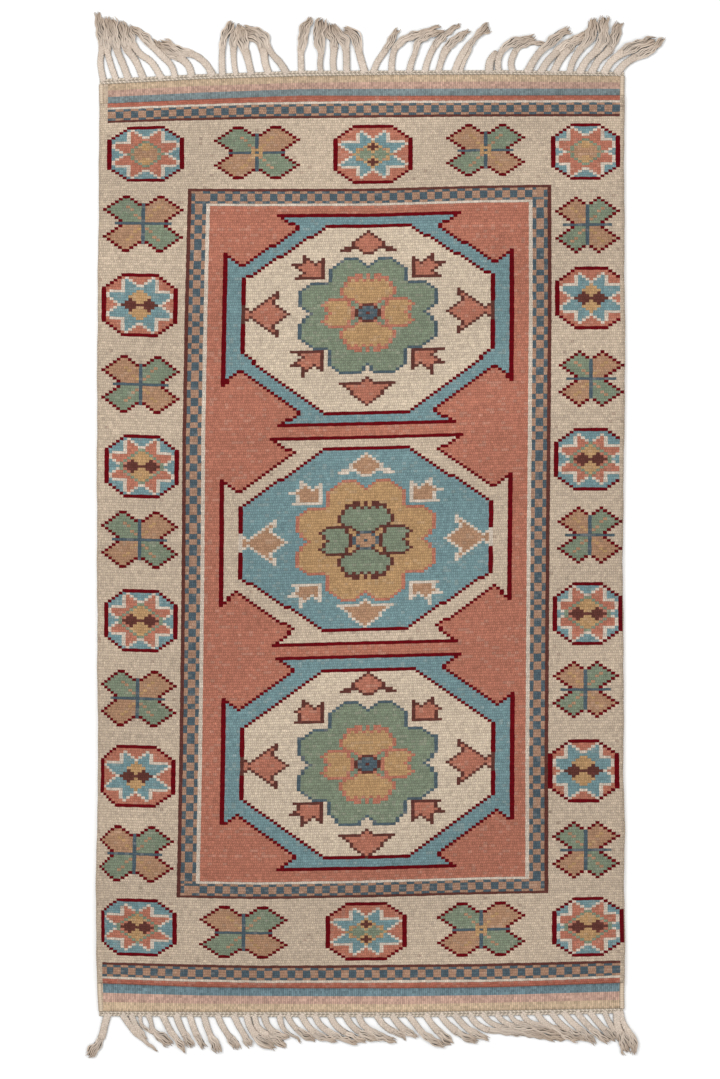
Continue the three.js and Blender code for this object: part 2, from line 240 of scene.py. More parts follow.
@dataclass
class Loom:
    """Where each warp line and each row of knots really lies on the rug.

    Attributes:
        columns: Knots across the rug.
        rows: Rows of knots, counted from the top.
        inset: Distance of the first knot from the outer edge of the side binding.
    """

    columns: int = 139
    rows: int = 336
    inset: float = 1.5 * MM

    # Places of warp lines 5, 23.5, 71.5, 119.5 and 134 in photo pixels, with the place along it
    WARPS = np.array([
        [448, -240.3, -170.7, 8.9, 188.6, 243.5], [350, -241.2, -170.5, 8.4, 188.5, 243.5],
        [300, -242.0, -171.8, 7.9, 188.7, 243.5], [231, -243.0, -173.6, 7.4, 188.8, 243.5],
        [104, -244.0, -176.0, 5.9, 187.8, 242.8], [4, -244.5, -176.5, 5.1, 186.8, 242.0],
        [-98, -245.5, -177.5, 4.3, 186.1, 241.8], [-220, -248.0, -179.2, 3.1, 185.4, 242.0],
        [-348, -251.0, -181.7, 1.9, 185.5, 242.6], [-441, -250.5, -182.0, 1.7, 185.5, 243.0],
    ])
    WARP_LINES = [5, 23.5, 71.5, 119.5, 134]

    # Place of row lines in photo pixels at the middle of the rug, then their lift at six places across
    ROWS = np.array([
        [0, 448.5, -7.3, -4.3, -1.6, 0.3, 0.5, 0.7], [9, 427.1, -5.6, -3.1, -1.2, 0.9, 1.2, 1.2],
        [23, 391.5, -3.0, -1.7, -0.7, 1.7, 2.5, 3.2], [37, 356.1, 0.5, 0.0, -0.3, 3.0, 4.0, 4.5],
        [44, 339.0, 0.5, -0.2, -0.4, 3.2, 4.0, 4.4], [84, 231.0, 0.5, -1.8, -2.2, 2.6, 3.6, 3.8],
        [131, 104.0, -1.0, -3.2, -2.4, 3.2, 5.0, 5.2], [168, 4.0, -1.5, -3.4, -3.0, 3.2, 5.0, 5.2],
        [206, -98.5, -1.0, -3.4, -3.0, 2.8, 4.6, 5.0], [251, -219.5, -0.5, -2.6, -2.0, 2.8, 4.0, 4.4],
        [293, -334.3, 2.0, -0.5, -1.8, 3.2, 4.3, 5.0], [300, -351.1, 1.6, -0.4, -1.8, 3.0, 4.3, 5.5],
        [313, -384.3, 3.5, 0.0, -1.5, 2.3, 4.2, 6.5], [327, -418.7, 2.8, 0.8, -0.7, 1.2, 2.8, 4.5],
        [336, -441.5, 4.7, 1.6, 0.1, 0.6, 2.5, 5.2],
    ])
    ROW_PLACES = [-255.5, -180.5, -100.5, 9.5, 119.5, 189.5, 257.5]

    def warp_x(self, line: np.ndarray, y: np.ndarray) -> np.ndarray:
        """Place across the rug, in metres, of warp lines at places along the rug in metres."""
        order = np.argsort(self.WARPS[:, 0])
        heights = self.WARPS[order, 0] * PHOTO_PIXEL
        knots = [side_at("left", y) + self.inset]
        knots += [np.interp(y, heights, self.WARPS[order, 1 + i]) * PHOTO_PIXEL for i in range(5)]
        knots.append(side_at("right", y) - self.inset)
        marks = [0, *self.WARP_LINES, self.columns]
        x = np.zeros(np.broadcast(line, y).shape)
        for i in range(len(marks) - 1):
            share = np.clip((line - marks[i]) / (marks[i + 1] - marks[i]), 0, 1)
            inside = (line >= marks[i]) if i else np.ones_like(x, bool)
            x = np.where(inside, knots[i] + share * (knots[i + 1] - knots[i]), x)
        return x

    def row_y(self, row: np.ndarray, x: np.ndarray) -> np.ndarray:
        """Place along the rug, in metres, of row lines at places across the rug in metres."""
        lifts = np.insert(self.ROWS[:, 2:], 3, 0, axis=1)
        places = np.array(self.ROW_PLACES) * PHOTO_PIXEL
        middle = np.interp(row, self.ROWS[:, 0], self.ROWS[:, 1])
        lift = np.zeros(np.broadcast(row, x).shape)
        for i, place in enumerate(places):
            near = np.clip(1 - np.abs(x - place) / self._reach(places, i, x), 0, 1)
            lift = lift + near * np.interp(row, self.ROWS[:, 0], lifts[:, i])
        return (middle + lift) * PHOTO_PIXEL

    @staticmethod
    def _reach(places: np.ndarray, i: int, x: np.ndarray) -> np.ndarray:
        """Distance from a place to its neighbour on the side where x lies, endless past the ends."""
        left = places[i] - places[i - 1] if i else 1e9
        right = places[i + 1] - places[i] if i + 1 < len(places) else 1e9
        return np.where(x < places[i], left, right)

    def place(self, line: np.ndarray, row: np.ndarray) -> tuple[np.ndarray, np.ndarray]:
        """Real place of a crossing of warp line and row line."""
        y = np.interp(row, self.ROWS[:, 0], self.ROWS[:, 1]) * PHOTO_PIXEL
        x = self.warp_x(line, y)
        y = self.row_y(row, x)
        return self.warp_x(line, y), y

    def knot_at(self, x: float, y: float, even: bool = False) -> Centre:
        """Middle of a motif in knots.

        Args:
            x: Place across the rug in photo pixels.
            y: Place along the rug in photo pixels.
            even: Whether the middle lies between two columns.

        Returns:
            Column, a half number where it lies between two, and row.
        """
        middle = 1.0 if even else 0.5
        lines, rows = np.meshgrid(np.arange(self.columns) + middle, np.arange(self.rows) + 0.5)
        px, py = self.place(lines, rows)
        away = (px - x * PHOTO_PIXEL) ** 2 + (py - y * PHOTO_PIXEL) ** 2
        row, column = np.unravel_index(np.argmin(away), away.shape)
        return column + middle - 0.5, int(row)


def mirrored(half: Sequence[Point]) -> list[Point]:
    """Closed outline from its right half, listed from top to bottom."""
    return list(half) + [(-x, y) for x, y in reversed(half) if abs(x) > 1e-6]


def quartered(top: Sequence[Point], rise: float = 1, fall: float = 1) -> list[Point]:
    """Closed outline from its top right quarter, stretched up by rise and down by fall."""
    upper = [(x, y * rise) for x, y in top]
    lower = [(x, -y * fall) for x, y in reversed(top) if abs(y) > 1e-6]
    return mirrored(upper + lower)


def placed(points: Sequence[Point], across: float = 0, up: float = 0, sx: float = 1,
           sy: float = 1) -> list[Point]:
    """Outline scaled and then moved."""
    return [(x * sx + across, y * sy + up) for x, y in points]


class Draft:
    """The pattern as one wool for each knot, painted by motifs that count from a knot."""

    KNOT_WIDTH = 3.78
    ROW_HEIGHT = 2.7

    def __init__(self, loom: Loom) -> None:
        """Starts with ivory at every knot of the loom."""
        self.loom = loom
        self.knots = np.full((loom.rows, loom.columns), WOOL_INDEX[Wool.IVORY], int)

    def offsets(self, centre: Centre) -> tuple[np.ndarray, np.ndarray]:
        """Photo pixels across and up from a knot, for every knot."""
        column, row = centre
        across = (np.arange(self.loom.columns) - column) * self.KNOT_WIDTH
        up = (row - np.arange(self.loom.rows)) * self.ROW_HEIGHT
        return np.meshgrid(across, up)

    def steps(self, centre: Centre) -> tuple[np.ndarray, np.ndarray]:
        """Knots across and up from a knot, for every knot."""
        column, row = centre
        return np.meshgrid(np.arange(self.loom.columns) - column, row - np.arange(self.loom.rows))

    def drawn(self, centre: Centre, outline: Sequence[Point]) -> np.ndarray:
        """Knots inside an outline that is drawn in knots around a knot."""
        return self.region(centre, placed(outline, 0, 0, self.KNOT_WIDTH, self.ROW_HEIGHT))

    def region(self, centre: Centre, outline: Sequence[Point]) -> np.ndarray:
        """Knots whose middle lies inside an outline around a knot."""
        across, up = self.offsets(centre)
        inside = np.zeros(across.shape, bool)
        for (x1, y1), (x2, y2) in zip(outline, list(outline[1:]) + [outline[0]]):
            if y1 == y2:
                continue
            crosses = (up > y1 - 1e-6) != (up > y2 - 1e-6)
            inside ^= crosses & (across < x1 + (up - y1) * (x2 - x1) / (y2 - y1) + 1e-6)
        return inside

    @staticmethod
    def shrink(mask: np.ndarray) -> np.ndarray:
        """The mask without its outermost knots."""
        wide = np.pad(mask, 1)
        beside = wide[1:-1, :-2] & wide[1:-1, 2:]
        return mask & beside & wide[:-2, 1:-1] & wide[2:, 1:-1]

    def grow(self, mask: np.ndarray) -> np.ndarray:
        """The mask with one knot more on every side."""
        wide = np.pad(mask, 1)
        beside = wide[1:-1, :-2] | wide[1:-1, 2:]
        return mask | beside | wide[:-2, 1:-1] | wide[2:, 1:-1]

    def paint(self, mask: np.ndarray, wool: Wool) -> None:
        """Gives the knots of a mask one wool."""
        self.knots[mask] = WOOL_INDEX[wool]

    def outlined(self, mask: np.ndarray, fill: Wool, line: Wool) -> None:
        """Fills a mask and knots its outermost knots in the outline's wool."""
        self.paint(mask, line)
        self.paint(self.shrink(mask), fill)

    def dot(self, centre: Centre, across: int, up: int, wool: Wool) -> None:
        """One knot, counted in knots from a centre."""
        row, column = centre[1] - up, int(centre[0] + across)
        if 0 <= row < self.loom.rows and 0 <= column < self.loom.columns:
            self.knots[row, column] = WOOL_INDEX[wool]


CHART_WOOLS = {"t": Wool.TAN, "s": Wool.SAGE, "g": Wool.GOLD, "b": Wool.BROWN}


class StarHeart(Enum):
    """What is knotted into the middle of an eight-pointed star."""

    LOZENGE = "tan lozenge with two gold diamonds"
    GOLD_EYES = "gold diamond with two brown eyes"
    SAGE_EYES = "sage diamond with two brown eyes"
    CROSSES = "sage diamond with two brown crosses"


# Quarter charts of the hearts, from the middle row upwards and from the middle column outwards
HEARTS = {
    StarHeart.LOZENGE: ("tttts", "ttts", "gtts", "ggs", "gs", "s"),
    StarHeart.GOLD_EYES: ("bbbbb", "gbbb", "ggb", "ggg", "gg", "g"),
    StarHeart.SAGE_EYES: ("bbbbbs", "gbbb.s", "ggb.s", "gggs", "ggs", "gs", "s"),
    StarHeart.CROSSES: ("sssssg", "gsssg", "bgstg", "bbg", "bg", "g"),
}


@dataclass
class OctagonStar:
    """Octagon of the main border with an eight-pointed star in it.

    Attributes:
        x: Place across the rug in photo pixels.
        y: Place along the rug in photo pixels.
        on_sky: Whether the ground is sky blue and the star madder, or the other way round.
        heart: The middle of the star.
        wide: Width of the octagon in knots.
        open_side: 1 or -1 where the border's edge cuts off the right or left line.
    """

    x: float
    y: float
    on_sky: bool
    heart: StarHeart
    wide: int = 20
    open_side: int = 0

    HALF_HEIGHT = 11
    CORNER = 4.5

    def knot(self, draft: Draft) -> None:
        """Knots the motif into the draft."""
        centre = draft.loom.knot_at(self.x, self.y, self.wide % 2 == 0)
        across, up = draft.steps(centre)
        column, row = np.abs(across), np.abs(up)
        rim = (self.wide - 1) / 2
        octagon = (column <= rim) & (row <= self.HALF_HEIGHT)
        octagon &= column + row <= rim + self.HALF_HEIGHT - self.CORNER
        ground, star = (Wool.SKY, Wool.MADDER) if self.on_sky else (Wool.MADDER, Wool.SKY)
        draft.outlined(octagon, ground, Wool.CRIMSON)
        if self.open_side:
            edge = draft.loom.columns - 1 if self.open_side > 0 else 0
            draft.paint(octagon & (across == edge - centre[0]), Wool.IVORY)
        inner = draft.shrink(octagon)
        upright = (column < 4) & (row <= 5.5 + column) & (row <= 9)
        lying = (row <= 4) & (column <= 4.5 + row)
        points = (upright | lying) & (column < rim - 1)
        draft.paint(draft.grow(points) & inner, Wool.WHITE)
        draft.paint(points & inner, star)
        for height, line in enumerate(HEARTS[self.heart]):
            for place, letter in enumerate(line):
                if letter in CHART_WOOLS:
                    spot = (np.floor(column) == place) & (row == height)
                    draft.paint(spot, CHART_WOOLS[letter])


@dataclass
class LeafCross:
    """Four leaves on a slate cross, the other motif of the main border.

    Attributes:
        x: Place across the rug in photo pixels.
        y: Place along the rug in photo pixels.
        sage_first: Whether the top left leaf is sage, and the top right one tan.
        reach: Knots from the middle to the leaves' outer tips.
        ringed: Whether a gold ring lies round the middle of the cross.
    """

    x: float
    y: float
    sage_first: bool
    reach: int = 10
    ringed: bool = False

    def knot(self, draft: Draft) -> None:
        """Knots the motif into the draft."""
        centre = draft.loom.knot_at(self.x, self.y)
        across, up = draft.steps(centre)
        column, row = np.abs(across), np.abs(up)
        leaves = (column + row <= self.reach + 5) & (column - row <= self.reach - 5)
        leaves &= (row - column <= 7 - (self.reach > 8)) & (row <= 10)
        sage = ((across < 0) == (up > 0)) if self.sage_first else ((across > 0) == (up > 0))
        draft.outlined(leaves, Wool.TAN, Wool.CRIMSON)
        draft.paint(draft.shrink(leaves) & sage, Wool.SAGE)
        self._knot_veins(draft, centre)
        bar = (column == 0) & (row <= 7)
        beam = (row == 0) & (column <= 6 + (self.reach > 8))
        draft.paint(bar | beam, Wool.SLATE)
        if self.ringed:
            draft.paint((column <= 1) & (row <= 1), Wool.GOLD)
            draft.paint((column == 0) & (row == 0), Wool.SLATE)

    def _knot_veins(self, draft: Draft, centre: Centre) -> None:
        """Knots a short slanting line of single knots into each leaf."""
        for side in (1, -1):
            for end in (1, -1):
                is_sage = (side < 0) == (end > 0) if self.sage_first else (side > 0) == (end > 0)
                wool = Wool.TAN if is_sage else Wool.GOLD
                for step in range(1, 5):
                    draft.dot(centre, side * step, end * (step + 1 + (step > 2)), wool)


@dataclass
class Guard:
    """Checked strip with a brown line, at both ends and round the field.

    Attributes:
        left: Column of the frame's left brown line.
        right: Column of the frame's right brown line.
        top: Row of the frame's top brown line.
        bottom: Row of the frame's bottom brown line.
    """

    left: int = 23
    right: int = 119
    top: int = 37
    bottom: int = 299

    @staticmethod
    def checks(place: np.ndarray, size: int) -> np.ndarray:
        """Whether a place falls on a slate square."""
        return (place // size) % 2 == 0

    def knot_end(self, draft: Draft, edge: int, inward: int) -> None:
        """Knots the strip at one end of the pile.

        Args:
            draft: The draft to knot into.
            edge: Outermost row of pile at that end.
            inward: 1 where rows count away from the top end, -1 at the bottom.
        """
        columns = np.arange(draft.loom.columns)
        slate = self.checks(columns, 2)
        rows = draft.knots
        rows[[edge, edge + inward]] = WOOL_INDEX[Wool.ROSE]
        rows[edge + 2 * inward] = WOOL_INDEX[Wool.WHITE]
        squares = np.where(slate, WOOL_INDEX[Wool.SLATE], WOOL_INDEX[Wool.CHECK_TAN])
        dashes = np.where(slate, WOOL_INDEX[Wool.CHECK_TAN], WOOL_INDEX[Wool.SLATE])
        for step, line in enumerate((dashes, squares, squares, squares, dashes)):
            rows[edge + (3 + step) * inward] = line
        rows[edge + 8 * inward] = WOOL_INDEX[Wool.BROWN]
        for step in range(9):
            rows[edge + step * inward, [0, 1, -1]] = WOOL_INDEX[Wool.IVORY]

    def uneven_checks(self, rows: int, seed: int) -> np.ndarray:
        """Whether each row of a side strip lies in a slate square, two to four rows high."""
        rng = np.random.default_rng(seed)
        slate = np.zeros(rows, bool)
        row, is_slate = self.top + 6, False
        while row < self.bottom - 5:
            height = rng.choice([2, 3, 3, 3, 4])
            slate[row : row + height] = is_slate
            row, is_slate = row + height, not is_slate
        return slate

    def knot_frame(self, draft: Draft) -> None:
        """Knots the frame round the field and fills the field."""
        count = (draft.loom.rows, draft.loom.columns)
        rows, columns = np.indices(count)
        side_deep = np.minimum(columns - self.left, self.right - columns)
        end_deep = np.minimum(rows - self.top, self.bottom - rows)
        deep = np.minimum(side_deep, end_deep)
        strips = [self.uneven_checks(count[0], seed)[:, None] for seed in (3, 4)]
        along = np.where(columns < (self.left + self.right) / 2, *strips)
        slate = np.where(end_deep < 6, self.checks(columns - self.left + 2, 2), along)
        slate = np.where((end_deep < 6) & (side_deep < 4), self.checks(end_deep + 1, 3), slate)
        squares = ((side_deep == 2) | (side_deep == 3)) & (end_deep > 1)
        squares |= (end_deep >= 2) & (end_deep <= 4) & (side_deep > 1)
        inside = deep >= 0
        draft.paint(inside & (slate ^ squares), Wool.CHECK_TAN)
        draft.paint(inside & ~(slate ^ squares), Wool.SLATE)
        draft.paint((side_deep >= 5) & (end_deep >= 6), Wool.WHITE)
        draft.paint((side_deep >= 6) & (end_deep >= 7), Wool.MADDER)
        draft.paint(deep == 0, Wool.BROWN)


@dataclass
class MedallionWools:
    """Wools of a medallion, from its band to its heart.

    Attributes:
        band: The notched band round the octagon.
        ground: The octagon.
        fish: Fish and tulips.
        fish_line: Outline of the fish and tulips.
        flower: The lobed flower.
        flower_line: Outline of the flower.
        petal: The four petals.
        petal_line: Outline of the petals.
        ring: Ring round the flower's heart.
        heart: Heart of the flower.
        dot: Knot in the middle.
    """

    band: Wool
    ground: Wool
    fish: Wool
    fish_line: Wool
    flower: Wool
    flower_line: Wool
    petal: Wool
    petal_line: Wool
    ring: Wool
    heart: Wool
    dot: Wool


SALMON_FISH = MedallionWools(
    Wool.SKY, Wool.CREAM, Wool.MADDER, Wool.BROWN, Wool.SAGE, Wool.SLATE, Wool.GOLD, Wool.MADDER,
    Wool.BROWN, Wool.SLATE, Wool.BROWN,
)
TAN_FISH = MedallionWools(
    Wool.IVORY, Wool.SKY, Wool.TAN, Wool.WHITE, Wool.GOLD, Wool.MADDER, Wool.SAGE, Wool.BROWN,
    Wool.SLATE, Wool.TAN, Wool.SLATE,
)


@dataclass
class Medallion:
    """Notched octagon with fish, tulips and a lobed flower.

    Attributes:
        x: Place across the rug in photo pixels.
        y: Place along the rug in photo pixels.
        wools: Its wools.
        band: Right half of the outer outline, from top to bottom.
        ground: Right half of the inner octagon.
        lobes: How far the flower rises above the middle and falls below it.
        fish: Height of the tips of the top fish and of the bottom fish.
        buds: Height of the inner corner of the upper and the lower tulips.
        shift: Knots by which the petals sit beside the middle.
    """

    x: float
    y: float
    wools: MedallionWools
    band: tuple[Point, ...]
    ground: tuple[Point, ...]
    lobes: tuple[float, float]
    fish: tuple[float, float]
    buds: tuple[float, float]
    shift: int = 0

    TOP_FISH = ((0, 7.6), (4.4, 3.2), (4.2, 2.6), (7.9, -0.6), (6.4, -0.9), (3, 0.9), (0, -2.0))
    FOOT_FISH = ((0, 2.2), (2.6, 0.3), (7.6, 0.5), (7.4, -0.5), (4.4, -3.2), (4.2, -4.2), (0.6, -8.4))
    TULIP = ((0, 0), (0, 22), (5, 18), (9, 15.5), (13, 19), (20, 25), (21, 15), (34, 14),
             (28, 10), (23, 6), (28, 2.5), (32, 0))
    FLOWER = ((0, 0.87), (9, 1), (25, 1), (39, 0.82), (39.5, 0.58), (54, 0.58), (70, 0.41),
              (70, 0.17), (58.5, 0))
    PETAL = ((0, 38), (4, 34), (10.5, 42), (13, 37), (20, 35), (26.5, 26), (28, 20.5), (22, 14),
             (8, 7.5))
    SIDE_PETAL = ((13, 0), (15, 7.5), (22, 13.5), (30, 16), (38, 15), (43, 11), (49, 7.5), (42, 4),
                  (41, 0))

    def knot(self, draft: Draft) -> None:
        """Knots the whole medallion into the draft."""
        centre = draft.loom.knot_at(self.x, self.y)
        wools = self.wools
        draft.outlined(draft.region(centre, mirrored(self.band)), wools.band, Wool.CRIMSON)
        octagon = draft.region(centre, mirrored(self.ground))
        draft.outlined(octagon, wools.ground, Wool.CRIMSON)
        self._knot_fish(draft, centre)
        self._knot_buds(draft, centre)
        flower = quartered(self.FLOWER, *self.lobes)
        draft.outlined(draft.region(centre, flower), wools.flower, wools.flower_line)
        self._knot_petals(draft, (centre[0] + self.shift, centre[1]))

    def _knot_fish(self, draft: Draft, centre: Centre) -> None:
        """Knots the four fish that point inwards from the sides of the octagon."""
        wools = self.wools
        across, up = draft.steps(centre)
        away = np.abs(across) - 21
        half = np.where(away <= 3, away, np.where(away <= 10, 11 - away, away - 9))
        barb = (away == 3) & (np.abs(up) >= 6) & (np.abs(up) <= 8)
        fish = (away >= 0) & (away <= 12) & ((np.abs(up) <= half) | barb)
        draft.outlined(fish, wools.fish, wools.fish_line)
        for height, body in zip(self.fish, (self.TOP_FISH, self.FOOT_FISH)):
            middle = (centre[0], centre[1] - round(height / draft.ROW_HEIGHT))
            draft.outlined(draft.drawn(middle, mirrored(body)), wools.fish, wools.fish_line)

    def _knot_buds(self, draft: Draft, centre: Centre) -> None:
        """Knots the four tulips that point at the slanting sides of the octagon."""
        for side in (1, -1):
            for height, up in zip(self.buds, (1, -1)):
                bud = placed(self.TULIP, side * 44.5, height, side, up)
                mask = draft.region(centre, bud)
                draft.outlined(mask, self.wools.fish, self.wools.fish_line)

    def _knot_petals(self, draft: Draft, centre: Centre) -> None:
        """Knots the four petals and the heart of the flower."""
        wools = self.wools
        across, up = draft.offsets(centre)
        for sign in (1, -1):
            petal = draft.region(centre, placed(mirrored(self.PETAL), 0, 0, 1, sign))
            draft.outlined(petal, wools.petal, wools.petal_line)
            slit = (np.abs(np.abs(across) - 11) < 2) & (up * sign > 30) & (up * sign < 42)
            draft.paint(slit & petal, wools.petal_line)
            half = [*self.SIDE_PETAL, *[(x, -y) for x, y in reversed(self.SIDE_PETAL) if y]]
            petal = draft.region(centre, placed(half, 0, 0, sign))
            draft.outlined(petal, wools.petal, wools.petal_line)
            slit = (np.abs(np.abs(up) - 6.5) < 1.4) & (across * sign > 38) & (across * sign < 50)
            draft.paint(slit & petal, wools.petal_line)
        draft.paint((across / 13.4) ** 2 + (up / 9.6) ** 2 < 1, wools.ring)
        draft.paint((across / 9.6) ** 2 + (up / 7) ** 2 < 1, wools.heart)
        draft.dot(centre, 0, 0, wools.dot)


@dataclass
class Pattern:
    """The whole pattern of the pile, with every motif at its place in photo pixels.

    Attributes:
        guard: The checked guard borders.
    """

    guard: Guard

    def motifs(self) -> list[Union[OctagonStar, LeafCross]]:
        """The motifs of the main border, row by row."""
        loz, gold, sage = StarHeart.LOZENGE, StarHeart.GOLD_EYES, StarHeart.SAGE_EYES
        return [
            OctagonStar(-215, 389.5, True, loz), OctagonStar(12, 391.2, False, StarHeart.CROSSES, 21),
            OctagonStar(226, 394.3, True, loz, 18), LeafCross(-103.5, 391, True, 11, True),
            LeafCross(123.5, 393.4, False, 10, True),
            LeafCross(-215.5, 321.2, True), LeafCross(226.5, 321, False, 8),
            OctagonStar(-218.5, 240.8, False, gold), OctagonStar(229.5, 245.6, False, gold, 19, 1),
            LeafCross(-219.5, 161.2, False), LeafCross(230, 166.5, True, 8),
            OctagonStar(-219.5, 78.3, True, sage), OctagonStar(228.5, 87.5, True, sage, 19, 1),
            LeafCross(-219.5, 4.5, True), LeafCross(227, 9.8, False, 8),
            OctagonStar(-220.5, -76, True, sage), OctagonStar(225, -67.8, True, sage, 18),
            LeafCross(-222, -151.7, True), LeafCross(224.5, -144, False, 8),
            OctagonStar(-223, -231, False, gold, 21, -1), OctagonStar(224, -225, False, gold, 18),
            LeafCross(-224.5, -307, False), LeafCross(225, -303, True, 8),
            OctagonStar(-224.5, -382, True, sage, 21, -1), OctagonStar(225, -379, True, sage, 18),
            LeafCross(-117.5, -386.2, False, 11), LeafCross(121, -382.6, True, 11, True),
            OctagonStar(5, -385, False, StarHeart.CROSSES, 21),
        ]

    def medallions(self) -> list[Medallion]:
        """The three medallions of the field."""
        upper = Medallion(
            8.3, 231, SALMON_FISH,
            band=((96, 99), (71.5, 84), (127.5, 49.5), (146, 63.5), (146, -73), (128, -57),
                  (69, -98.5), (91, -112.5)),
            ground=((39, 89), (128, 33.5), (128, -38), (40, -102)),
            lobes=(54.5, 62), fish=(62, -71), buds=(34.5, -37.5),
        )
        middle = Medallion(
            7.0, 4, TAN_FISH,
            band=((99, 103.5), (73.5, 88), (128, 51.5), (147, 64.5), (147, -65.5), (128.5, -51),
                  (73.5, -87.5), (94, -103)),
            ground=((40, 93), (128, 35.5), (128, -33.5), (40, -90.5)),
            lobes=(60.5, 59.5), fish=(67, -66), buds=(36.5, -40.5),
        )
        lower = Medallion(
            5.2, -219.5, SALMON_FISH,
            band=((94, 108.5), (75.5, 95.5), (128, 57.5), (147, 71), (147, -61.5), (128, -49.5),
                  (71.5, -91.5), (88, -103)),
            ground=((45, 97), (127.5, 38), (127.5, -31.5), (41.5, -93)),
            lobes=(63, 61), fish=(73, -70), buds=(42, -36),
        )
        return [upper, middle, lower]

    def knot(self, draft: Draft) -> None:
        """Knots everything, from the guards inwards."""
        self.guard.knot_end(draft, 0, 1)
        self.guard.knot_end(draft, draft.loom.rows - 1, -1)
        self.guard.knot_frame(draft)
        for medallion in self.medallions():
            medallion.knot(draft)
        for motif in self.motifs():
            motif.knot(draft)


class Value:
    """A socket's number in a node tree, with the usual signs of arithmetic."""

    def __init__(self, book: "NodeBook", socket: bpy.types.NodeSocket) -> None:
        """Wraps a socket.

        Args:
            book: Nodes of the material that the socket is in.
            socket: The socket.
        """
        self.book = book
        self.socket = socket

    def _math(self, operation: str, *terms: Union["Value", float]) -> "Value":
        """A Math node on these terms."""
        return self.book.math(operation, *terms)

    def __add__(self, other: Union["Value", float]) -> "Value":
        """Sum."""
        return self._math("ADD", self, other)

    __radd__ = __add__

    def __sub__(self, other: Union["Value", float]) -> "Value":
        """Difference."""
        return self._math("SUBTRACT", self, other)

    def __rsub__(self, other: Union["Value", float]) -> "Value":
        """Difference from a number."""
        return self._math("SUBTRACT", other, self)

    def __mul__(self, other: Union["Value", float]) -> "Value":
        """Product."""
        return self._math("MULTIPLY", self, other)

    __rmul__ = __mul__

    def __truediv__(self, other: Union["Value", float]) -> "Value":
        """Quotient."""
        return self._math("DIVIDE", self, other)

    def __rtruediv__(self, other: Union["Value", float]) -> "Value":
        """A number divided by this."""
        return self._math("DIVIDE", other, self)

    def __pow__(self, other: float) -> "Value":
        """Power."""
        return self._math("POWER", self, other)

    def __abs__(self) -> "Value":
        """Size without sign."""
        return self._math("ABSOLUTE", self)

    def sine(self) -> "Value":
        """Sine of an angle."""
        return self._math("SINE", self)

    def ribs(self, count: float, sharp: float) -> "Value":
        """Rounded ribs from 0 in the grooves to 1 on top, so many for each unit."""
        return abs((self * (math.pi * count)).sine()) ** sharp


class NodeBook:
    """Adds the nodes of one material."""

    def __init__(self, name: str) -> None:
        """Starts a material of a given name with an empty node tree."""
        self.material = bpy.data.materials.new(name)
        self.material.use_nodes = True
        self.tree = self.material.node_tree
        self.tree.nodes.clear()

    def node(self, kind: str, settings: Optional[dict] = None, inputs: Optional[dict] = None,
             output: Union[str, int] = 0) -> Value:
        """A node of one kind.

        Args:
            kind: Blender's name of the node type.
            settings: Properties that are set first. "stops" are a ramp's places and colours.
            inputs: Values or links of its sockets.
            output: The output that is handed back.

        Returns:
            The chosen output.
        """
        made = self.tree.nodes.new(kind)
        for key, value in (settings or {}).items():
            if key == "stops":
                ramp = made.color_ramp
                while len(ramp.elements) < len(value):
                    ramp.elements.new(0.5)
                for element, (place, colour) in zip(ramp.elements, value):
                    element.position, element.color = place, (*colour, 1)
            else:
                setattr(made, key, value)
        for key, value in (inputs or {}).items():
            if isinstance(value, Value):
                self.tree.links.new(value.socket, made.inputs[key])
            else:
                made.inputs[key].default_value = value
        return Value(self, made.outputs[output])

    def math(self, operation: str, *terms: Union[Value, float]) -> Value:
        """A Math node."""
        return self.node("ShaderNodeMath", {"operation": operation}, dict(enumerate(terms)))

    def noise(self, vector: Value, scale: float, detail: float = 2.0) -> Value:
        """Noise from about 0.3 to 0.7."""
        sockets = {"Vector": vector, "Scale": scale, "Detail": detail}
        return self.node("ShaderNodeTexNoise", {}, sockets)

    def tinted(self, colour: Value, shade: Value) -> Value:
        """Colour made lighter or darker by a number."""
        return self.node("ShaderNodeVectorMath", {"operation": "SCALE"},
                         {0: colour, "Scale": shade})

    def finish(self, constants: dict, colour: Value, rough: Union[Value, float], height: Value,
               depth: float, strength: float) -> bpy.types.Material:
        """Closes the material with one shader.

        Args:
            constants: Plain values of the shader's own sockets.
            colour: Base colour.
            rough: Roughness.
            height: Relief from 0 to 1.
            depth: Height of the relief in metres.
            strength: How much of the relief shows.

        Returns:
            The material.
        """
        bump = self.node("ShaderNodeBump", {}, {"Height": height, "Distance": depth,
                                                "Strength": strength})
        sockets = {**constants, "Base Color": colour, "Roughness": rough, "Normal": bump}
        shader = self.node("ShaderNodeBsdfPrincipled", {}, sockets)
        self.node_output(shader)
        return self.material

    def node_output(self, shader: Value) -> None:
        """Links the shader to the surface."""
        made = self.tree.nodes.new("ShaderNodeOutputMaterial")
        self.tree.links.new(shader.socket, made.inputs["Surface"])


WOOL_SHADER = {"Specular IOR Level": 0.03, "Sheen Weight": 0.02, "Sheen Roughness": 0.6}


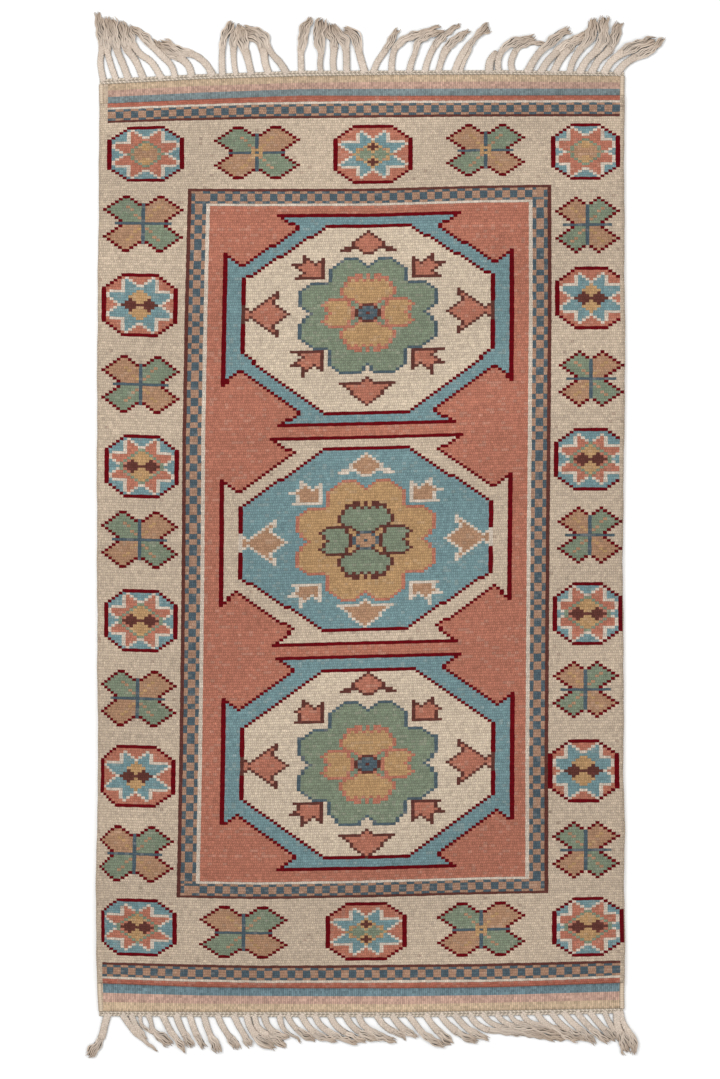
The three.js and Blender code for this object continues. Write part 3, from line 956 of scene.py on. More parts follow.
@dataclass(frozen=True)
class WovenFinish:
    """Finish of the woven sheet. Its map counts knots across and rows along.

    Attributes:
        name: Name of the material.
        across: Ribs for each knot across the rug.
        along: Ribs for each row along the rug.
        dark: Shade in the grooves.
        light: Shade on top of a rib.
        depth: Height of the relief in metres.
        wobble: How far the ribs wander, in knots.
        grain: Strength of the fibre grain.
        stagger: How far the tufts of a row sit beside those of the next, in knots.
        uneven: How much the tufts differ in shade.
    """

    name: str
    across: float
    along: float
    dark: float
    light: float
    depth: float
    wobble: float = 0.2
    grain: float = 0.5
    stagger: float = 0.0
    uneven: float = 0.15

    def material(self) -> bpy.types.Material:
        """The finish as a material."""
        book = NodeBook(self.name)
        wool = book.node("ShaderNodeAttribute", {"attribute_name": "wool"}, {}, "Color")
        weave = book.node("ShaderNodeUVMap", {"uv_map": "weave"})
        wander = book.noise(weave, 1.3, 1.0)
        across, along = self._split(book, weave)
        row = book.math("FLOOR", along + 0.001)
        jog = book.node("ShaderNodeTexWhiteNoise", {"noise_dimensions": "1D"}, {"W": row})
        shift = (wander - 0.5) * (2 * self.wobble)
        across = across + shift + (jog - 0.5) * self.stagger
        tufts = across.ribs(self.across, 0.5)
        rows = (along + shift * 0.7).ribs(self.along, 0.55)
        place = book.node("ShaderNodeTexCoord", {}, {}, "Object")
        fibre = book.noise(place, 900, 3.0)
        heap = tufts * rows
        tuft = book.math("FLOOR", across * self.across) + row * 57.0
        own = book.node("ShaderNodeTexWhiteNoise", {"noise_dimensions": "1D"}, {"W": tuft})
        shade = heap * (self.light - self.dark) + self.dark + (fibre - 0.5) * self.grain
        colour = book.tinted(wool, shade + (own - 0.5) * self.uneven)
        height = heap * 0.8 + fibre * 0.4
        return book.finish(WOOL_SHADER, colour, 0.95, height, self.depth, 0.9)

    @staticmethod
    def _split(book: NodeBook, weave: Value) -> tuple[Value, Value]:
        """The two numbers of the map."""
        parts = book.tree.nodes.new("ShaderNodeSeparateXYZ")
        book.tree.links.new(weave.socket, parts.inputs[0])
        return Value(book, parts.outputs[0]), Value(book, parts.outputs[1])


@dataclass(frozen=True)
class YarnFinish:
    """Finish of a twisted yarn. Its map runs once round the yarn, and along it in millimetres.

    Attributes:
        name: Name of the material.
        plies: Twist lines for each turn round the yarn.
        pitch: Millimetres along the yarn for each twist line.
        dark: Shade in the grooves between plies.
        depth: Height of the relief in metres.
        edge: Strength of the painted shade that makes the yarn's sides darker than its top.
    """

    name: str
    plies: float
    pitch: float
    dark: float
    depth: float
    edge: float = 0.0

    def material(self) -> bpy.types.Material:
        """The finish as a material."""
        book = NodeBook(self.name)
        wool = book.node("ShaderNodeAttribute", {"attribute_name": "wool"}, {}, "Color")
        yarn = book.node("ShaderNodeUVMap", {"uv_map": "yarn"})
        around, along = WovenFinish._split(book, yarn)
        twist = (around * self.plies + along / self.pitch).ribs(1, 0.6)
        place = book.node("ShaderNodeTexCoord", {}, {}, "Object")
        fibre = book.noise(place, 1500, 3.0)
        mottle_and_shade = book.noise(place, 60, 2.0)
        shade = twist * (1.06 - self.dark) + self.dark + (fibre - 0.5) * 0.5 + (mottle_and_shade - 0.5) * 0.3
        # Painted shade: the yarn's colour darkens towards its sides.
        crown = (around * (2 * math.pi) - math.pi).sine()
        colour = book.tinted(wool, shade * (crown * self.edge + (1 - self.edge)))
        height = twist * 0.8 + fibre * 0.4
        return book.finish(WOOL_SHADER, colour, 0.92, height, self.depth, 0.9)


def finish_piece(mesh: bpy.types.Mesh, name: str, nodes: Sequence[str],
                 materials: Sequence[bpy.types.Material]) -> bpy.types.Object:
    """Makes an object of a mesh, lets it ride on the rug and stand for its solids.

    Args:
        mesh: The finished mesh.
        name: Name of the piece.
        nodes: Solids that it stands for.
        materials: Its materials, in the order of its faces' numbers.

    Returns:
        The piece.
    """
    for material in materials:
        mesh.materials.append(material)
    piece = bpy.data.objects.new(name, mesh)
    bpy.context.scene.collection.objects.link(piece)
    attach(piece, "root")
    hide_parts(*nodes)
    log.info("%s: %d faces", name, len(mesh.polygons))
    return piece


@dataclass
class WovenSheet:
    """The knotted field with its flat-woven ends, one closed sheet with the pattern on both faces.

    Attributes:
        loom: Places of warps and rows.
        draft: The pattern.
        weave_rows: Rows of faces in each flat-woven end, a multiple of three.
        pile_top: Height of the pile.
        weave_top: Height of the flat weave.
        edge_top: Height of the pile along the side bindings.
        step: Half the width of the slope from pile to flat weave.
        uneven: How far a knot strays to the side.
        rough: How far a knot strays in height.
        spread: How far dark outlines spread over their neighbours, as a share of a knot.
        tan_share: Where the tan stripe of the flat weave ends, counted from its outer side.
        pink_share: Where the pink stripe ends.
    """

    loom: Loom
    draft: Draft
    weave_rows: int = 9
    pile_top: float = 7.9 * MM
    weave_top: float = 2.8 * MM
    edge_top: float = 6.6 * MM
    step: float = 1.2 * MM
    uneven: float = 0.32 * MM
    rough: float = 0.3 * MM
    spread: float = 0.13
    tan_share: float = 0.37
    pink_share: float = 0.7

    @property
    def rows(self) -> int:
        """Rows of faces from end to end."""
        return self.loom.rows + 2 * self.weave_rows + 2

    def build(self) -> bpy.types.Object:
        """Builds and dresses the sheet."""
        mesh, count = self._blank()
        lines, rows = self._stations(mesh)
        lower = np.arange(len(mesh.vertices)) >= count
        places = self._places(lines, rows, lower)
        self._map(mesh, lines, rows)
        self._colour(mesh, lines, rows, lower)
        mesh.vertices.foreach_set("co", places.astype(np.float32).ravel())
        mesh.update()
        pile = WovenFinish("pile", 2, 1, 0.72, 1.12, 0.9 * MM, 0.3, 0.7, 0.6, 0.24)
        flat = WovenFinish("flat_weave", 2, 3, 0.5, 1.3, 0.6 * MM, 0.08, 0.8, 0.0, 0.4)
        back = WovenFinish("knotted_back", 2, 1, 0.72, 1.08, 0.4 * MM, 0.08)
        dressed = [pile.material(), flat.material(), back.material()]
        return finish_piece(mesh, "woven_sheet", ["woven_body"], dressed)

    def _blank(self) -> tuple[bpy.types.Mesh, int]:
        """Closed slab of one face for each knot on both sides, and its number of upper points."""
        bm = bmesh.new()
        bmesh.ops.create_grid(bm, x_segments=self.loom.columns, y_segments=self.rows, size=0.5)
        count = len(bm.verts)
        grown = bmesh.ops.extrude_face_region(bm, geom=bm.faces[:])["geom"]
        moved = [item for item in grown if isinstance(item, bmesh.types.BMVert)]
        bmesh.ops.translate(bm, verts=moved, vec=(0, 0, -0.1))
        bmesh.ops.recalc_face_normals(bm, faces=bm.faces[:])
        mesh = bpy.data.meshes.new("woven_sheet")
        bm.to_mesh(mesh)
        bm.free()
        return mesh, count

    def _stations(self, mesh: bpy.types.Mesh) -> tuple[np.ndarray, np.ndarray]:
        """Warp line and row line of every point, rows counted from the top end."""
        flat = np.zeros(len(mesh.vertices) * 3, np.float32)
        mesh.vertices.foreach_get("co", flat)
        points = flat.reshape(-1, 3)
        lines = np.rint((points[:, 0] + 0.5) * self.loom.columns)
        return lines, np.rint((0.5 - points[:, 1]) * self.rows)

    def _places(self, lines: np.ndarray, rows: np.ndarray, lower: np.ndarray) -> np.ndarray:
        """Real place of every point."""
        rng = np.random.default_rng(11)
        pile_row = np.clip(rows - self.weave_rows - 1, 0, self.loom.rows)
        x, y = self.loom.place(lines, pile_row)
        top = np.full(x.shape, self.pile_top)
        edge = np.minimum(lines, self.loom.columns - lines)
        top = np.where(edge < 0.5, self.edge_top, top)
        last = self.loom.rows + self.weave_rows + 1
        for is_top, inside, near, far in (
            (True, rows <= self.weave_rows, "pile_top", "weave_top"),
            (False, rows > last, "pile_bottom", "weave_bottom"),
        ):
            out = rows if is_top else self.rows - rows
            share = np.clip(out / self.weave_rows, 0, 1)
            sign = 1 if is_top else -1
            from_y = end_at(far, x)
            to_y = end_at(near, x) + sign * self.step
            weave_y = from_y + share * (to_y - from_y)
            new_x = self.loom.warp_x(lines, weave_y)
            x = np.where(inside, new_x, x)
            y = np.where(inside, weave_y, y)
            top = np.where(inside, self.weave_top, top)
        push_x, push_y = self._spread(lines, pile_row)
        x = x + np.where(rows > self.weave_rows, push_x, 0)
        y = y + np.where((rows > self.weave_rows + 1) & (rows < last), push_y, 0)
        first = (rows == self.weave_rows + 1) | (rows == last)
        top = np.where(first, self.pile_top - 0.9 * MM, top)
        on_pile = (top > self.weave_top + 1e-6)
        loose = on_pile & (edge > 0.5)
        amount = np.where(loose, 1.0, np.where(edge > 0.5, 0.25, 0.0))
        across, along, up = rng.uniform(-1, 1, (3, len(x)))
        pair = lower.astype(int)
        x = x + across * amount * self.uneven
        y = y + along * amount * self.uneven * np.where((rows == 0) | (rows == self.rows), 0, 1)
        z = np.where(pair == 1, 0.0, top + up * amount * self.rough)
        return np.stack([x, y, z], axis=1)

    def _spread(self, lines: np.ndarray, rows: np.ndarray) -> tuple[np.ndarray, np.ndarray]:
        """How far points move away from the dark outlines, whose longer pile spreads sideways."""
        outline = self.draft.knots == WOOL_INDEX[Wool.CRIMSON]
        wide = np.pad(outline.astype(float), 1, mode="edge")
        right = wide[:-1, 1:] + wide[1:, 1:] - wide[:-1, :-1] - wide[1:, :-1]
        below = wide[1:, 1:] + wide[1:, :-1] - wide[:-1, 1:] - wide[:-1, :-1]
        row, line = rows.astype(int), lines.astype(int)
        inner = (line > 0) & (line < self.loom.columns)
        across = np.where(inner, -right[row, line] / 2, 0) * self.spread * 5.0 * MM
        return across, below[row, line] / 2 * self.spread * 3.5 * MM

    def _map(self, mesh: bpy.types.Mesh, lines: np.ndarray, rows: np.ndarray) -> None:
        """Gives the mesh a map that counts knots across and rows along."""
        corner = np.zeros(len(mesh.loops), np.int32)
        mesh.loops.foreach_get("vertex_index", corner)
        layer = mesh.uv_layers.new(name="weave")
        pairs = np.stack([lines[corner], rows[corner]], axis=1)
        layer.data.foreach_set("uv", pairs.astype(np.float32).ravel())

    def _colour(self, mesh: bpy.types.Mesh, lines: np.ndarray, rows: np.ndarray,
                lower: np.ndarray) -> None:
        """Gives every face the colour of its knot and the number of its material."""
        starts = np.zeros(len(mesh.polygons), np.int32)
        totals = np.zeros(len(mesh.polygons), np.int32)
        corner = np.zeros(len(mesh.loops), np.int32)
        mesh.polygons.foreach_get("loop_start", starts)
        mesh.polygons.foreach_get("loop_total", totals)
        mesh.loops.foreach_get("vertex_index", corner)
        column = np.add.reduceat(lines[corner], starts) / totals
        row = np.add.reduceat(rows[corner], starts) / totals
        below = np.add.reduceat(lower[corner].astype(float), starts) / totals
        column = np.clip(np.floor(column - 1e-6), 0, self.loom.columns - 1).astype(int)
        row = np.clip(np.floor(row - 1e-6), 0, self.rows - 1).astype(int)
        chart = self._chart()
        colours = chart[row, column]
        layer = mesh.color_attributes.new("wool", "FLOAT_COLOR", "CORNER")
        spread = np.repeat(colours, totals, axis=0)
        full = np.concatenate([spread, np.ones((len(spread), 1))], axis=1)
        layer.data.foreach_set("color", full.astype(np.float32).ravel())
        is_flat = (row < self.weave_rows) | (row >= self.rows - self.weave_rows)
        number = np.where(below > 0.9, 2, np.where(is_flat, 1, 0))
        mesh.polygons.foreach_set("material_index", number.astype(np.int32))
        mesh.polygons.foreach_set("use_smooth", (np.abs(below - 0.5) > 0.3))

    def _chart(self) -> np.ndarray:
        """Linear colour of every face, a little darker towards the bottom end, with the unevenness of
        hand-dyed wool.
        """
        rng = np.random.default_rng(23)
        table = np.array([linear(wool.value) for wool in WOOLS])
        knots = self.draft.knots
        pile = table[knots]
        pile = self._flecked(pile, knots, rng)
        ends = np.zeros((self.weave_rows, self.loom.columns, 3))
        for i in range(self.weave_rows):
            share = (i + 0.5) / self.weave_rows
            wool = Wool.KILIM_TAN if share < self.tan_share else Wool.KILIM_PINK
            wool = Wool.KILIM_BLUE if share > self.pink_share else wool
            ends[i] = linear(wool.value)
        top, bottom = [pile[:1]], [pile[-1:]]
        foot = ends[::-1].copy()
        foot[: round(self.weave_rows * (1 - self.pink_share))] = linear(Wool.KILIM_DEEP.value)
        foot *= 1.15
        for strip in (ends, foot):
            strip[:, [0, 1, -1]] = linear(Wool.IVORY.value)
        chart = np.concatenate([ends, *top, pile, *bottom, foot])
        # A little darker towards the bottom end.
        chart *= np.linspace(1.04, 0.94, len(chart))[:, None, None]
        shape = chart.shape[:2]
        spots = np.exp(rng.normal(0, 0.045, shape))
        lines = np.exp(rng.normal(0, 0.02, (shape[0], 1)))
        patches = np.exp(self._patches(rng, shape) * 0.05)
        return chart * (spots * lines * patches)[..., None]

    def _flecked(self, pile: np.ndarray, knots: np.ndarray, rng: np.random.Generator) -> np.ndarray:
        """Lets pale warps show between coloured knots, and dark specks in the pale wool."""
        pale = np.array(linear(Wool.WHITE.value))
        dark = np.array(linear(Wool.BROWN.value))
        is_pale = np.isin(knots, [WOOL_INDEX[Wool.IVORY], WOOL_INDEX[Wool.WHITE]])
        rows = rng.uniform(0, 1, (knots.shape[0], 1)) ** 4
        chance = rng.uniform(0, 1, knots.shape)
        plain = ~is_pale & ~np.isin(knots, [WOOL_INDEX[Wool.CRIMSON], WOOL_INDEX[Wool.BROWN]])
        fleck = np.where(plain & (chance < 0.05 + 0.3 * rows), 0.11, 0.0)[..., None]
        speck = np.where(is_pale & (chance < 0.004 + 0.03 * rows ** 2), 0.3, 0.0)[..., None]
        pile = pile * (1 - fleck) + pale * fleck
        return pile * (1 - speck) + dark * speck

    @staticmethod
    def _patches(rng: np.random.Generator, shape: tuple[int, int]) -> np.ndarray:
        """Broad soft unevenness over the whole sheet."""
        rows, columns = np.indices(shape)
        total = np.zeros(shape)
        for _ in range(9):
            fx, fy = rng.uniform(-0.09, 0.09), rng.uniform(-0.1, 0.1)
            total += np.sin(columns * fx + rows * fy + rng.uniform(0, 6.3))
        return total / 3


@dataclass
class Strand:
    """One yarn along a line.

    Attributes:
        path: Points of its middle line.
        radius: Half width at each point.
        flat: Height of its section as a share of its width.
        colour: Linear colour.
        tip: Linear colour of its far end.
    """

    path: np.ndarray
    radius: np.ndarray
    flat: float
    colour: np.ndarray
    tip: np.ndarray


class YarnPiece:
    """Closed tubes of yarn of one kind, gathered into one piece."""

    def __init__(self, name: str, sides: int, rings: int, relief: Optional[Relief] = None,
                 mottle_and_shade: Optional[Relief] = None) -> None:
        """Starts a piece with no yarns.

        Args:
            name: Name of the piece.
            sides: Points round each tube.
            rings: Rings of points along each tube.
            relief: Share of the width at each point, from its place round and along the yarn.
            mottle_and_shade: Share of the colour at each point, from the same two places, which can paint
                shade onto the yarn.
        """
        self.name = name
        self.sides = sides
        self.rings = rings
        self.relief = relief
        self.mottle_and_shade = mottle_and_shade
        self.strands: list[Strand] = []

    def add(self, strand: Strand) -> None:
        """Takes one more yarn."""
        self.strands.append(strand)

    def build(self, slot: str, nodes: Sequence[str], material: bpy.types.Material) -> bpy.types.Object:
        """Lays every yarn along its line and finishes the piece."""
        single = self._tube()
        around, ring = self._stations(single)
        bm = bmesh.new()
        for _ in self.strands:
            bm.from_mesh(single)
        mesh = bpy.data.meshes.new(self.name)
        bm.to_mesh(mesh)
        bm.free()
        laid = [self._lay(strand, around, ring) for strand in self.strands]
        points = np.concatenate([part[0] for part in laid])
        tints = np.concatenate([part[1] for part in laid])
        runs = np.concatenate([part[2] for part in laid])
        mesh.vertices.foreach_set("co", points.astype(np.float32).ravel())
        self._map(mesh, np.tile(around, len(self.strands)), runs)
        layer = mesh.color_attributes.new("wool", "FLOAT_COLOR", "POINT")
        full = np.concatenate([tints, np.ones((len(tints), 1))], axis=1)
        layer.data.foreach_set("color", full.astype(np.float32).ravel())
        mesh.polygons.foreach_set("use_smooth", np.ones(len(mesh.polygons), bool))
        mesh.update()
        return finish_piece(mesh, self.name, nodes, [material])

    def _tube(self) -> bpy.types.Mesh:
        """Closed upright tube with its rings at whole heights."""
        bm = bmesh.new()
        bmesh.ops.create_cone(bm, cap_ends=True, cap_tris=False, segments=self.sides, radius1=1,
                              radius2=1, depth=1)
        upright = [e for e in bm.edges if abs(e.verts[0].co.z - e.verts[1].co.z) > 0.5]
        bmesh.ops.subdivide_edges(bm, edges=upright, cuts=self.rings - 2, use_grid_fill=False)
        bmesh.ops.recalc_face_normals(bm, faces=bm.faces[:])
        mesh = bpy.data.meshes.new(self.name + "_tube")
        bm.to_mesh(mesh)
        bm.free()
        return mesh

    def _stations(self, mesh: bpy.types.Mesh) -> tuple[np.ndarray, np.ndarray]:
        """Angle and ring of every point of the tube."""
        flat = np.zeros(len(mesh.vertices) * 3, np.float32)
        mesh.vertices.foreach_get("co", flat)
        points = flat.reshape(-1, 3)
        ring = np.rint((points[:, 2] + 0.5) * (self.rings - 1)).astype(int)
        return np.arctan2(points[:, 1], points[:, 0]), ring

    def _lay(self, strand: Strand, around: np.ndarray, ring: np.ndarray
             ) -> tuple[np.ndarray, np.ndarray, np.ndarray]:
        """Points, colours and run in millimetres of one yarn."""
        path = strand.path
        heading = np.gradient(path, axis=0)
        heading /= np.linalg.norm(heading, axis=1, keepdims=True) + 1e-12
        side = np.cross(np.array([0.0, 0.0, 1.0]), heading)
        side /= np.linalg.norm(side, axis=1, keepdims=True) + 1e-12
        rise = np.cross(heading, side)
        step = np.linalg.norm(np.diff(path, axis=0), axis=1)
        run = np.concatenate([[0.0], np.cumsum(step)])
        size = strand.radius[ring]
        if self.relief is not None:
            size = size * self.relief(around, run[ring])
        points = path[ring] + side[ring] * (np.cos(around) * size)[:, None]
        points += rise[ring] * (np.sin(around) * size * strand.flat)[:, None]
        points[:, 2] = np.maximum(points[:, 2], 0.0)
        share = (run[ring] / max(run[-1], 1e-9))[:, None] ** 2
        tints = strand.colour * (1 - share) + strand.tip * share
        if self.mottle_and_shade is not None:
            tints = tints * self.mottle_and_shade(around, run[ring])[:, None]
        return points, tints, run[ring] / MM

    def _map(self, mesh: bpy.types.Mesh, around: np.ndarray, run: np.ndarray) -> None:
        """Map that runs once round the yarn and along it in millimetres."""
        corner = np.zeros(len(mesh.loops), np.int32)
        starts = np.zeros(len(mesh.polygons), np.int32)
        totals = np.zeros(len(mesh.polygons), np.int32)
        mesh.loops.foreach_get("vertex_index", corner)
        mesh.polygons.foreach_get("loop_start", starts)
        mesh.polygons.foreach_get("loop_total", totals)
        turn = around[corner] / (2 * math.pi) + 0.5
        widest = np.repeat(np.maximum.reduceat(turn, starts), totals)
        turn = np.where(widest - turn > 0.5, turn + 1, turn)
        layer = mesh.uv_layers.new(name="yarn")
        pairs = np.stack([turn, run[corner]], axis=1)
        layer.data.foreach_set("uv", pairs.astype(np.float32).ravel())


class Tones:
    """Slightly uneven colours of undyed yarn."""

    def __init__(self, code: str, tip: str, seed: int) -> None:
        """Takes the yarn's two colours.

        Args:
            code: Colour of the yarn, as six digits.
            tip: Colour of its far end, as six digits.
            seed: Seed of the unevenness.
        """
        self.base = np.array(linear(code))
        self.end = np.array(linear(tip))
        self.rng = np.random.default_rng(seed)

    def pair(self, spread: float = 0.07) -> tuple[np.ndarray, np.ndarray]:
        """Colour of a yarn and of its tip."""
        shade = math.exp(self.rng.normal(0, spread))
        return self.base * shade, self.end * shade


@dataclass
class Selvedge:
    """Overcast binding of one side.

    Attributes:
        side: "left" or "right".
        width: Width of the binding.
        height: Height of the binding.
        wrap: Distance from one wrap to the next.
        rings: Rings along the binding.
    """

    side: str
    width: float = 6.4 * MM
    height: float = 5.2 * MM
    wrap: float = 3.1 * MM
    rings: int = 1700

    def build(self, material: bpy.types.Material) -> bpy.types.Object:
        """Builds and dresses the binding."""
        inward = 1 if self.side == "left" else -1
        corner_x = -inward * 0.35
        ends = [float(end_at(line, np.array(corner_x))) for line in ("weave_bottom", "weave_top")]
        y = np.linspace(ends[0], ends[1], self.rings)
        x = side_at(self.side, y) + inward * self.width / 2
        wander = 0.0003 * np.sin(y * 47) + 0.0002 * np.sin(y * 131 + 1)
        path = np.stack([x + wander, y, np.full(y.shape, self.height / 2)], axis=1)
        radius = np.full(y.shape, self.width / 2 * 0.97)
        tones = Tones("c6b49f", "c6b49f", 5)
        colour, tip = tones.pair(0)
        piece = YarnPiece(f"selvedge_wraps_{self.side}", 12, self.rings, self._ridges(inward),
                          self._painted_outer_shade(inward))
        piece.add(Strand(path, radius, self.height / self.width, colour, tip))
        return piece.build("edge_wool", [f"selvedge_{self.side}"], material)

    @staticmethod
    def _painted_outer_shade(inward: int) -> Relief:
        """Painted shade on the outer side of the binding, which slopes down away from the light, stronger
        in dashes along the wraps.
        """
        def mottle_and_shade(around: np.ndarray, run: np.ndarray) -> np.ndarray:
            """Share of the colour at an angle and a run."""
            outward = np.clip(np.cos(around) * inward, 0, 1)
            dashes = 0.8 + 0.2 * np.sin(run * 1400 + 2 * np.sin(run * 90))
            return 1 - 0.55 * outward * dashes
        return mottle_and_shade

    def _ridges(self, inward: int) -> Relief:
        """Relief of the wraps, which slant round the binding."""
        def relief(around: np.ndarray, run: np.ndarray) -> np.ndarray:
            """Share of the full width at an angle and a run."""
            drift = 0.25 * np.sin(run * 61) + 0.2 * np.sin(run * 173)
            turn = run / self.wrap + inward * around / (2 * math.pi) + drift
            return 0.86 + 0.14 * np.abs(np.sin(math.pi * turn)) ** 0.7
        return relief


@dataclass
class EndBand:
    """Twined rows of weft between the flat weave and the fringe.

    Attributes:
        end: "top" or "bottom".
        turns: Full turns of each pair of strands across the rug.
        rows: Twined rows side by side.
        rings: Rings of points along each strand.
    """

    end: str
    turns: int = 130
    rows: int = 2
    rings: int = 1500

    # Distance of both bands from the middle of the rug, where the side bindings are met
    DATUM = 0.628
    # Gap beside each side binding, height of the strands' middle, and their rise and fall round it
    GAP = 1.5 * MM
    LEVEL = 1.75 * MM
    SWING = 0.75 * MM

    def build(self, material: bpy.types.Material) -> bpy.types.Object:
        """Builds and dresses the band."""
        tones = Tones("d2c4b3", "d2c4b3", 7)
        piece = YarnPiece(f"twined_band_{self.end}", 6, self.rings)
        datum = self.DATUM if self.end == "top" else -self.DATUM
        left = float(side_at("left", np.array(datum))) + self.GAP
        right = float(side_at("right", np.array(datum))) - self.GAP
        x = np.linspace(left, right, self.rings)
        outer, inner = end_at(f"band_{self.end}", x), end_at(f"weave_{self.end}", x)
        for row in range(self.rows):
            share = (row + 0.5) / self.rows
            middle = inner + (outer - inner) * share
            width = np.abs(outer - inner) / self.rows
            for strand in range(2):
                slant = 1 if row % 2 else -1
                phase = np.linspace(0, 2 * math.pi * self.turns, self.rings) * slant
                phase = phase + math.pi * strand + 1.3 * row
                y = middle + np.sin(phase) * width * 0.22
                z = self.LEVEL + np.cos(phase) * self.SWING
                colour = tones.pair(0.03)[0] * (0.7 if strand else 1.05)
                path = np.stack([x, y, z], axis=1)
                piece.add(Strand(path, width * 0.36, 0.75, colour, colour))
        return piece.build("warp_yarn", [f"fringe_{self.end}"], material)


@dataclass
class Lock:
    """One plaited lock of the fringe with its loose yarns.

    Attributes:
        points: Places of its middle line with its width there, from the band to the tip.
        knee: Number of the point where the plait ends.
        lift: Height of its loose yarns above the floor.
    """

    points: np.ndarray
    knee: int
    lift: float

    FINE = 240

    def __post_init__(self) -> None:
        """Rounds the line off and measures it."""
        chord = np.linalg.norm(np.diff(self.points[:, :2], axis=0), axis=1)
        marks = np.concatenate([[0.0], np.cumsum(chord)])
        slopes = np.gradient(self.points, marks, axis=0)
        at = np.linspace(0, marks[-1], self.FINE)
        piece = np.clip(np.searchsorted(marks, at, side="right") - 1, 0, len(marks) - 2)
        gap = np.diff(marks)[piece][:, None]
        t = (at - marks[piece])[:, None] / gap
        self.fine = (
            (1 + 2 * t) * (1 - t) ** 2 * self.points[piece] + t * (1 - t) ** 2 * gap * slopes[piece]
            + t * t * (3 - 2 * t) * self.points[piece + 1]
            + t * t * (t - 1) * gap * slopes[piece + 1]
        )
        step = np.linalg.norm(np.diff(self.fine[:, :2], axis=0), axis=1)
        self.run = np.concatenate([[0.0], np.cumsum(step)])
        self.knee_run = float(np.interp(marks[self.knee], at, self.run))

    def line(self, run: np.ndarray) -> tuple[np.ndarray, np.ndarray, np.ndarray]:
        """Places, leftward sides and widths at distances along the lock."""
        parts = [np.interp(run, self.run, self.fine[:, i]) for i in range(3)]
        heading = np.gradient(self.fine[:, :2], self.run, axis=0)
        along = [np.interp(run, self.run, heading[:, i]) for i in range(2)]
        side = np.stack([-along[1], along[0]], axis=1)
        side /= np.linalg.norm(side, axis=1, keepdims=True)
        return np.stack(parts[:2], axis=1), side, parts[2]

    def plait(self, rings: int, tones: Tones) -> list[Strand]:
        """The three strands of the plaited stem."""
        run = np.linspace(0, self.knee_run + 3 * MM, rings)
        place, side, width = self.line(run)
        pitch = 11 * MM
        rise = np.clip(run / (8 * MM), 0, 1) * self.lift * 0.5
        strands = []
        for strand in range(3):
            phase = run / pitch * 2 * math.pi + strand * 2 * math.pi / 3
            across = np.sin(phase) * width * 0.27
            z = 1.9 * MM + np.sin(2 * phase) * 0.6 * MM + rise
            flat = place + side * across[:, None]
            path = np.concatenate([flat, z[:, None]], axis=1)
            colour, tip = tones.pair(0.05)
            strands.append(Strand(path, width * 0.235, 0.62, colour, (colour * 2 + tip) / 3))
        return strands

    def bed(self, rings: int, shade: float, tones: Tones) -> Strand:
        """Flat underlayer of yarns, its colour darkened to paint the shadow of the others over it."""
        run = np.linspace(self.knee_run - 3 * MM, self.run[-1] - 4 * MM, rings)
        place, _, width = self.line(run)
        z = np.full((rings, 1), 0.9 * MM + self.lift * 0.8)
        close = np.clip(np.minimum(run - run[0], run[-1] - run) / (5 * MM), 0.25, 1)
        colour, tip = tones.pair(0.02)
        return Strand(np.concatenate([place, z], axis=1), width * 0.4 * close, 0.16,
                      colour * shade, tip * shade)

    def yarns(self, rings: int, tones: Tones) -> list[Strand]:
        """The loose yarns from the end of the plait to the tip."""
        rng = tones.rng
        widest = float(self.points[self.knee :, 2].max())
        count = int(np.clip(round(widest / (1.6 * MM)), 3, 11))
        sway, swing = rng.uniform(0, 6.3, 2)
        strands = []
        for index in range(count):
            slot = (index + 0.5) / count * 2 - 1 + rng.uniform(-0.1, 0.1)
            first = self.knee_run - 2.5 * MM
            free = self.run[-1] - first
            last = self.run[-1] - abs(rng.normal(0, 0.07)) * free
            run = np.linspace(first, last, rings)
            place, side, width = self.line(run)
            out = np.clip((run - first) / (0.4 * free), 0, 1)
            wave = np.sin(run / (15 * MM) * 2 * math.pi + sway + slot) * 0.8
            own = np.sin(run / (rng.uniform(12, 24) * MM) * 2 * math.pi + rng.uniform(0, 6.3)) * 0.7
            twine = np.sin(run / (34 * MM) * 2 * math.pi + swing + 2.2 * slot) * 0.18
            across = np.clip(slot + twine * out, -1.05, 1.05) * (width * 0.5 - 0.6 * MM)
            across = across + out * (wave + own) * MM * 0.8
            z = 1.5 * MM + self.lift + rng.uniform(0, 0.9) * MM * out
            z = z + 0.35 * MM * np.sin(run / (9 * MM) + 1.7 * index)
            flat = place + side * across[:, None]
            path = np.concatenate([flat, z[:, None]], axis=1)
            colour, tip = tones.pair(0.1)
            taper = np.clip((last - run) / (4 * MM), 0.4, 1)
            strands.append(Strand(path, 0.92 * MM * rng.uniform(0.85, 1.15) * taper, 0.9, colour, tip))
        return strands


@dataclass
class Fringe:
    """All the locks of one end.

    Attributes:
        end: "top" or "bottom".
        rows: Table of its locks.
    """

    end: str
    rows: Sequence[tuple]

    def locks(self) -> Iterable[Lock]:
        """The locks, with their roots under the band."""
        for index, (knee, *places) in enumerate(self.rows):
            points = np.array(places, float)
            points[:, 0] -= PHOTO_MIDDLE[0]
            points[:, 1] = PHOTO_MIDDLE[1] - points[:, 1]
            points *= PHOTO_PIXEL
            root = points[0]
            band = float(end_at(f"band_{self.end}", root[0]))
            root[1] = (band + float(end_at(f"weave_{self.end}", root[0]))) / 2
            yield Lock(points, knee, (index % 3) * 0.9 * MM)

    def build(self, material: bpy.types.Material) -> list[bpy.types.Object]:
        """Builds and dresses the plaits and the loose yarns."""
        tones = Tones("cdbfb1", "af9b89", 31 if self.end == "top" else 37)
        plaits = YarnPiece(f"fringe_plaits_{self.end}", 8, 30)
        yarns = YarnPiece(f"fringe_yarns_{self.end}", 6, 30)
        for lock in self.locks():
            for strand in lock.plait(plaits.rings, tones):
                plaits.add(strand)
            # Underlayer darkened in colour to paint the shade between the loose yarns.
            plaits.add(lock.bed(plaits.rings, 0.42, tones))
            for strand in lock.yarns(yarns.rings, tones):
                yarns.add(strand)
        nodes = [f"fringe_{self.end}"]
        return [plaits.build("warp_yarn", nodes, material), yarns.build("warp_yarn", nodes, material)]


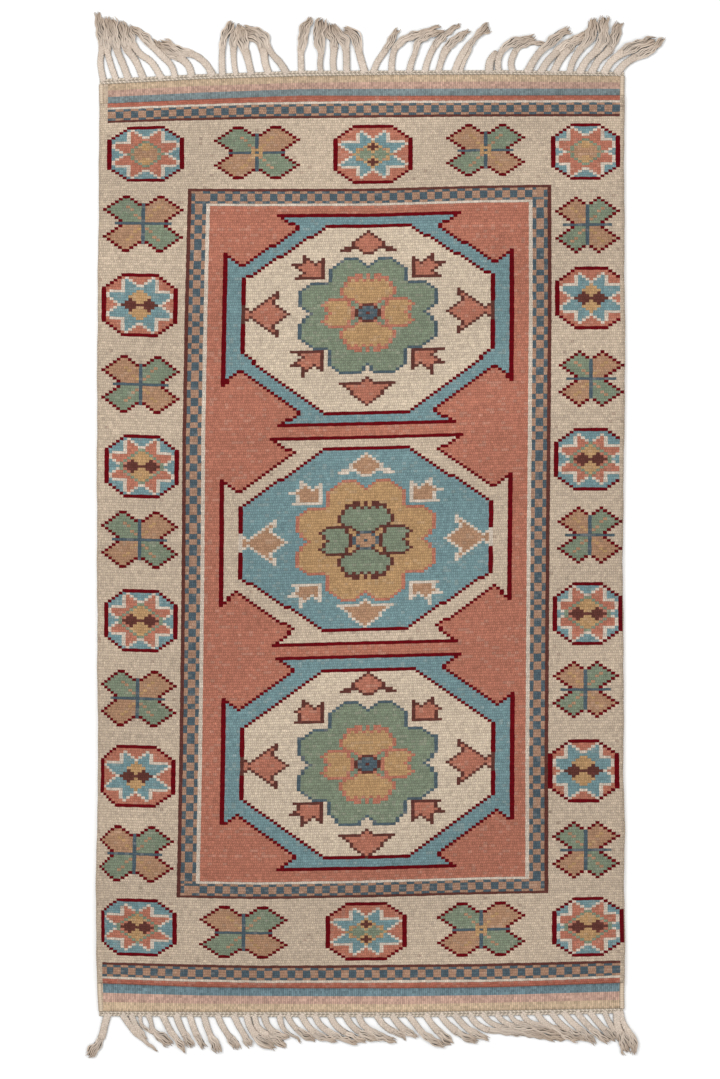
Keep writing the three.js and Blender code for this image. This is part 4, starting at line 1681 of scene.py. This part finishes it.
@dataclass
class Studio:
    """Pale floor, soft light and the camera straight above the rug.

    Attributes:
        eye: Place of the camera in metres.
        lens: Its focal length in millimetres.
        floor_half: Half the width of the floor in metres.
    """

    eye: tuple[float, float, float] = (-0.0007, 0.008, 3.996)
    lens: float = 100.0
    floor_half: float = 4.0

    def build(self) -> None:
        """Sets up the floor, the lights and the camera."""
        self._floor()
        self._light("key_light", (-1.6, 1.2, 3.0), 1.6, 62)
        self._light("fill_light", (1.8, -0.6, 2.6), 2.4, 26)
        world = bpy.data.worlds.new("studio")
        world.use_nodes = True
        world.node_tree.nodes["Background"].inputs[0].default_value = (1, 1, 1, 1)
        world.node_tree.nodes["Background"].inputs[1].default_value = 0.72
        bpy.context.scene.world = world
        bpy.context.scene.view_settings.view_transform = "Standard"
        data = bpy.data.cameras.new("camera")
        data.lens = self.lens
        data.sensor_width = 36.0
        camera = bpy.data.objects.new("camera", data)
        camera.location = self.eye
        bpy.context.scene.collection.objects.link(camera)
        bpy.context.scene.camera = camera

    def _floor(self) -> None:
        """Plain pale floor."""
        bm = bmesh.new()
        bmesh.ops.create_grid(bm, x_segments=1, y_segments=1, size=self.floor_half)
        mesh = bpy.data.meshes.new("floor")
        bm.to_mesh(mesh)
        bm.free()
        floor = bpy.data.objects.new("floor", mesh)
        floor.location = (0, 0, -0.0004)
        book = NodeBook("floor_paint")
        colour = (0.9, 0.9, 0.9, 1)
        shader = book.node("ShaderNodeBsdfPrincipled", {}, {"Base Color": colour, "Roughness": 0.9})
        book.node_output(shader)
        mesh.materials.append(book.material)
        bpy.context.scene.collection.objects.link(floor)
        floor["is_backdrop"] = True

    @staticmethod
    def _light(name: str, place: tuple[float, float, float], size: float, power: float) -> None:
        """Square soft light that faces the rug."""
        data = bpy.data.lights.new(name, "AREA")
        data.size = size
        data.energy = power
        light = bpy.data.objects.new(name, data)
        light.location = place
        light.rotation_euler = (-Vector(place)).to_track_quat("-Z", "Y").to_euler()
        bpy.context.scene.collection.objects.link(light)


def main() -> None:
    """Builds the rug, its yarn edges and the studio."""
    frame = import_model()
    log.info("solids: %s", ", ".join(sorted(frame["nodes"])))
    cad_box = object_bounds()
    Studio().build()
    loom = Loom()
    draft = Draft(loom)
    Pattern(Guard()).knot(draft)
    sheet = WovenSheet(loom, draft).build()
    wrapped = YarnFinish("overcast_wool", 0, 3.1, 0.8, 0.3 * MM).material()
    twined = YarnFinish("twined_yarn", 2, 1.6, 0.72, 0.3 * MM, 0.35).material()
    loose = YarnFinish("warp_yarn", 2, 1.5, 0.72, 0.25 * MM, 0.42).material()
    edges = [Selvedge(side).build(wrapped) for side in ("left", "right")]
    edges += [EndBand(end).build(twined) for end in ("top", "bottom")]
    edges += Fringe("top", TOP_LOCKS).build(loose)
    edges += Fringe("bottom", BOTTOM_LOCKS).build(loose)
    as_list(edges)
    boxes = {"cad": cad_box, "visual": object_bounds()}
    {key: [list(corner) for corner in box] for key, box in boxes.items()}


if __name__ == "__main__":
    logging.basicConfig(level=logging.INFO, format="%(name)s %(message)s")
    main()
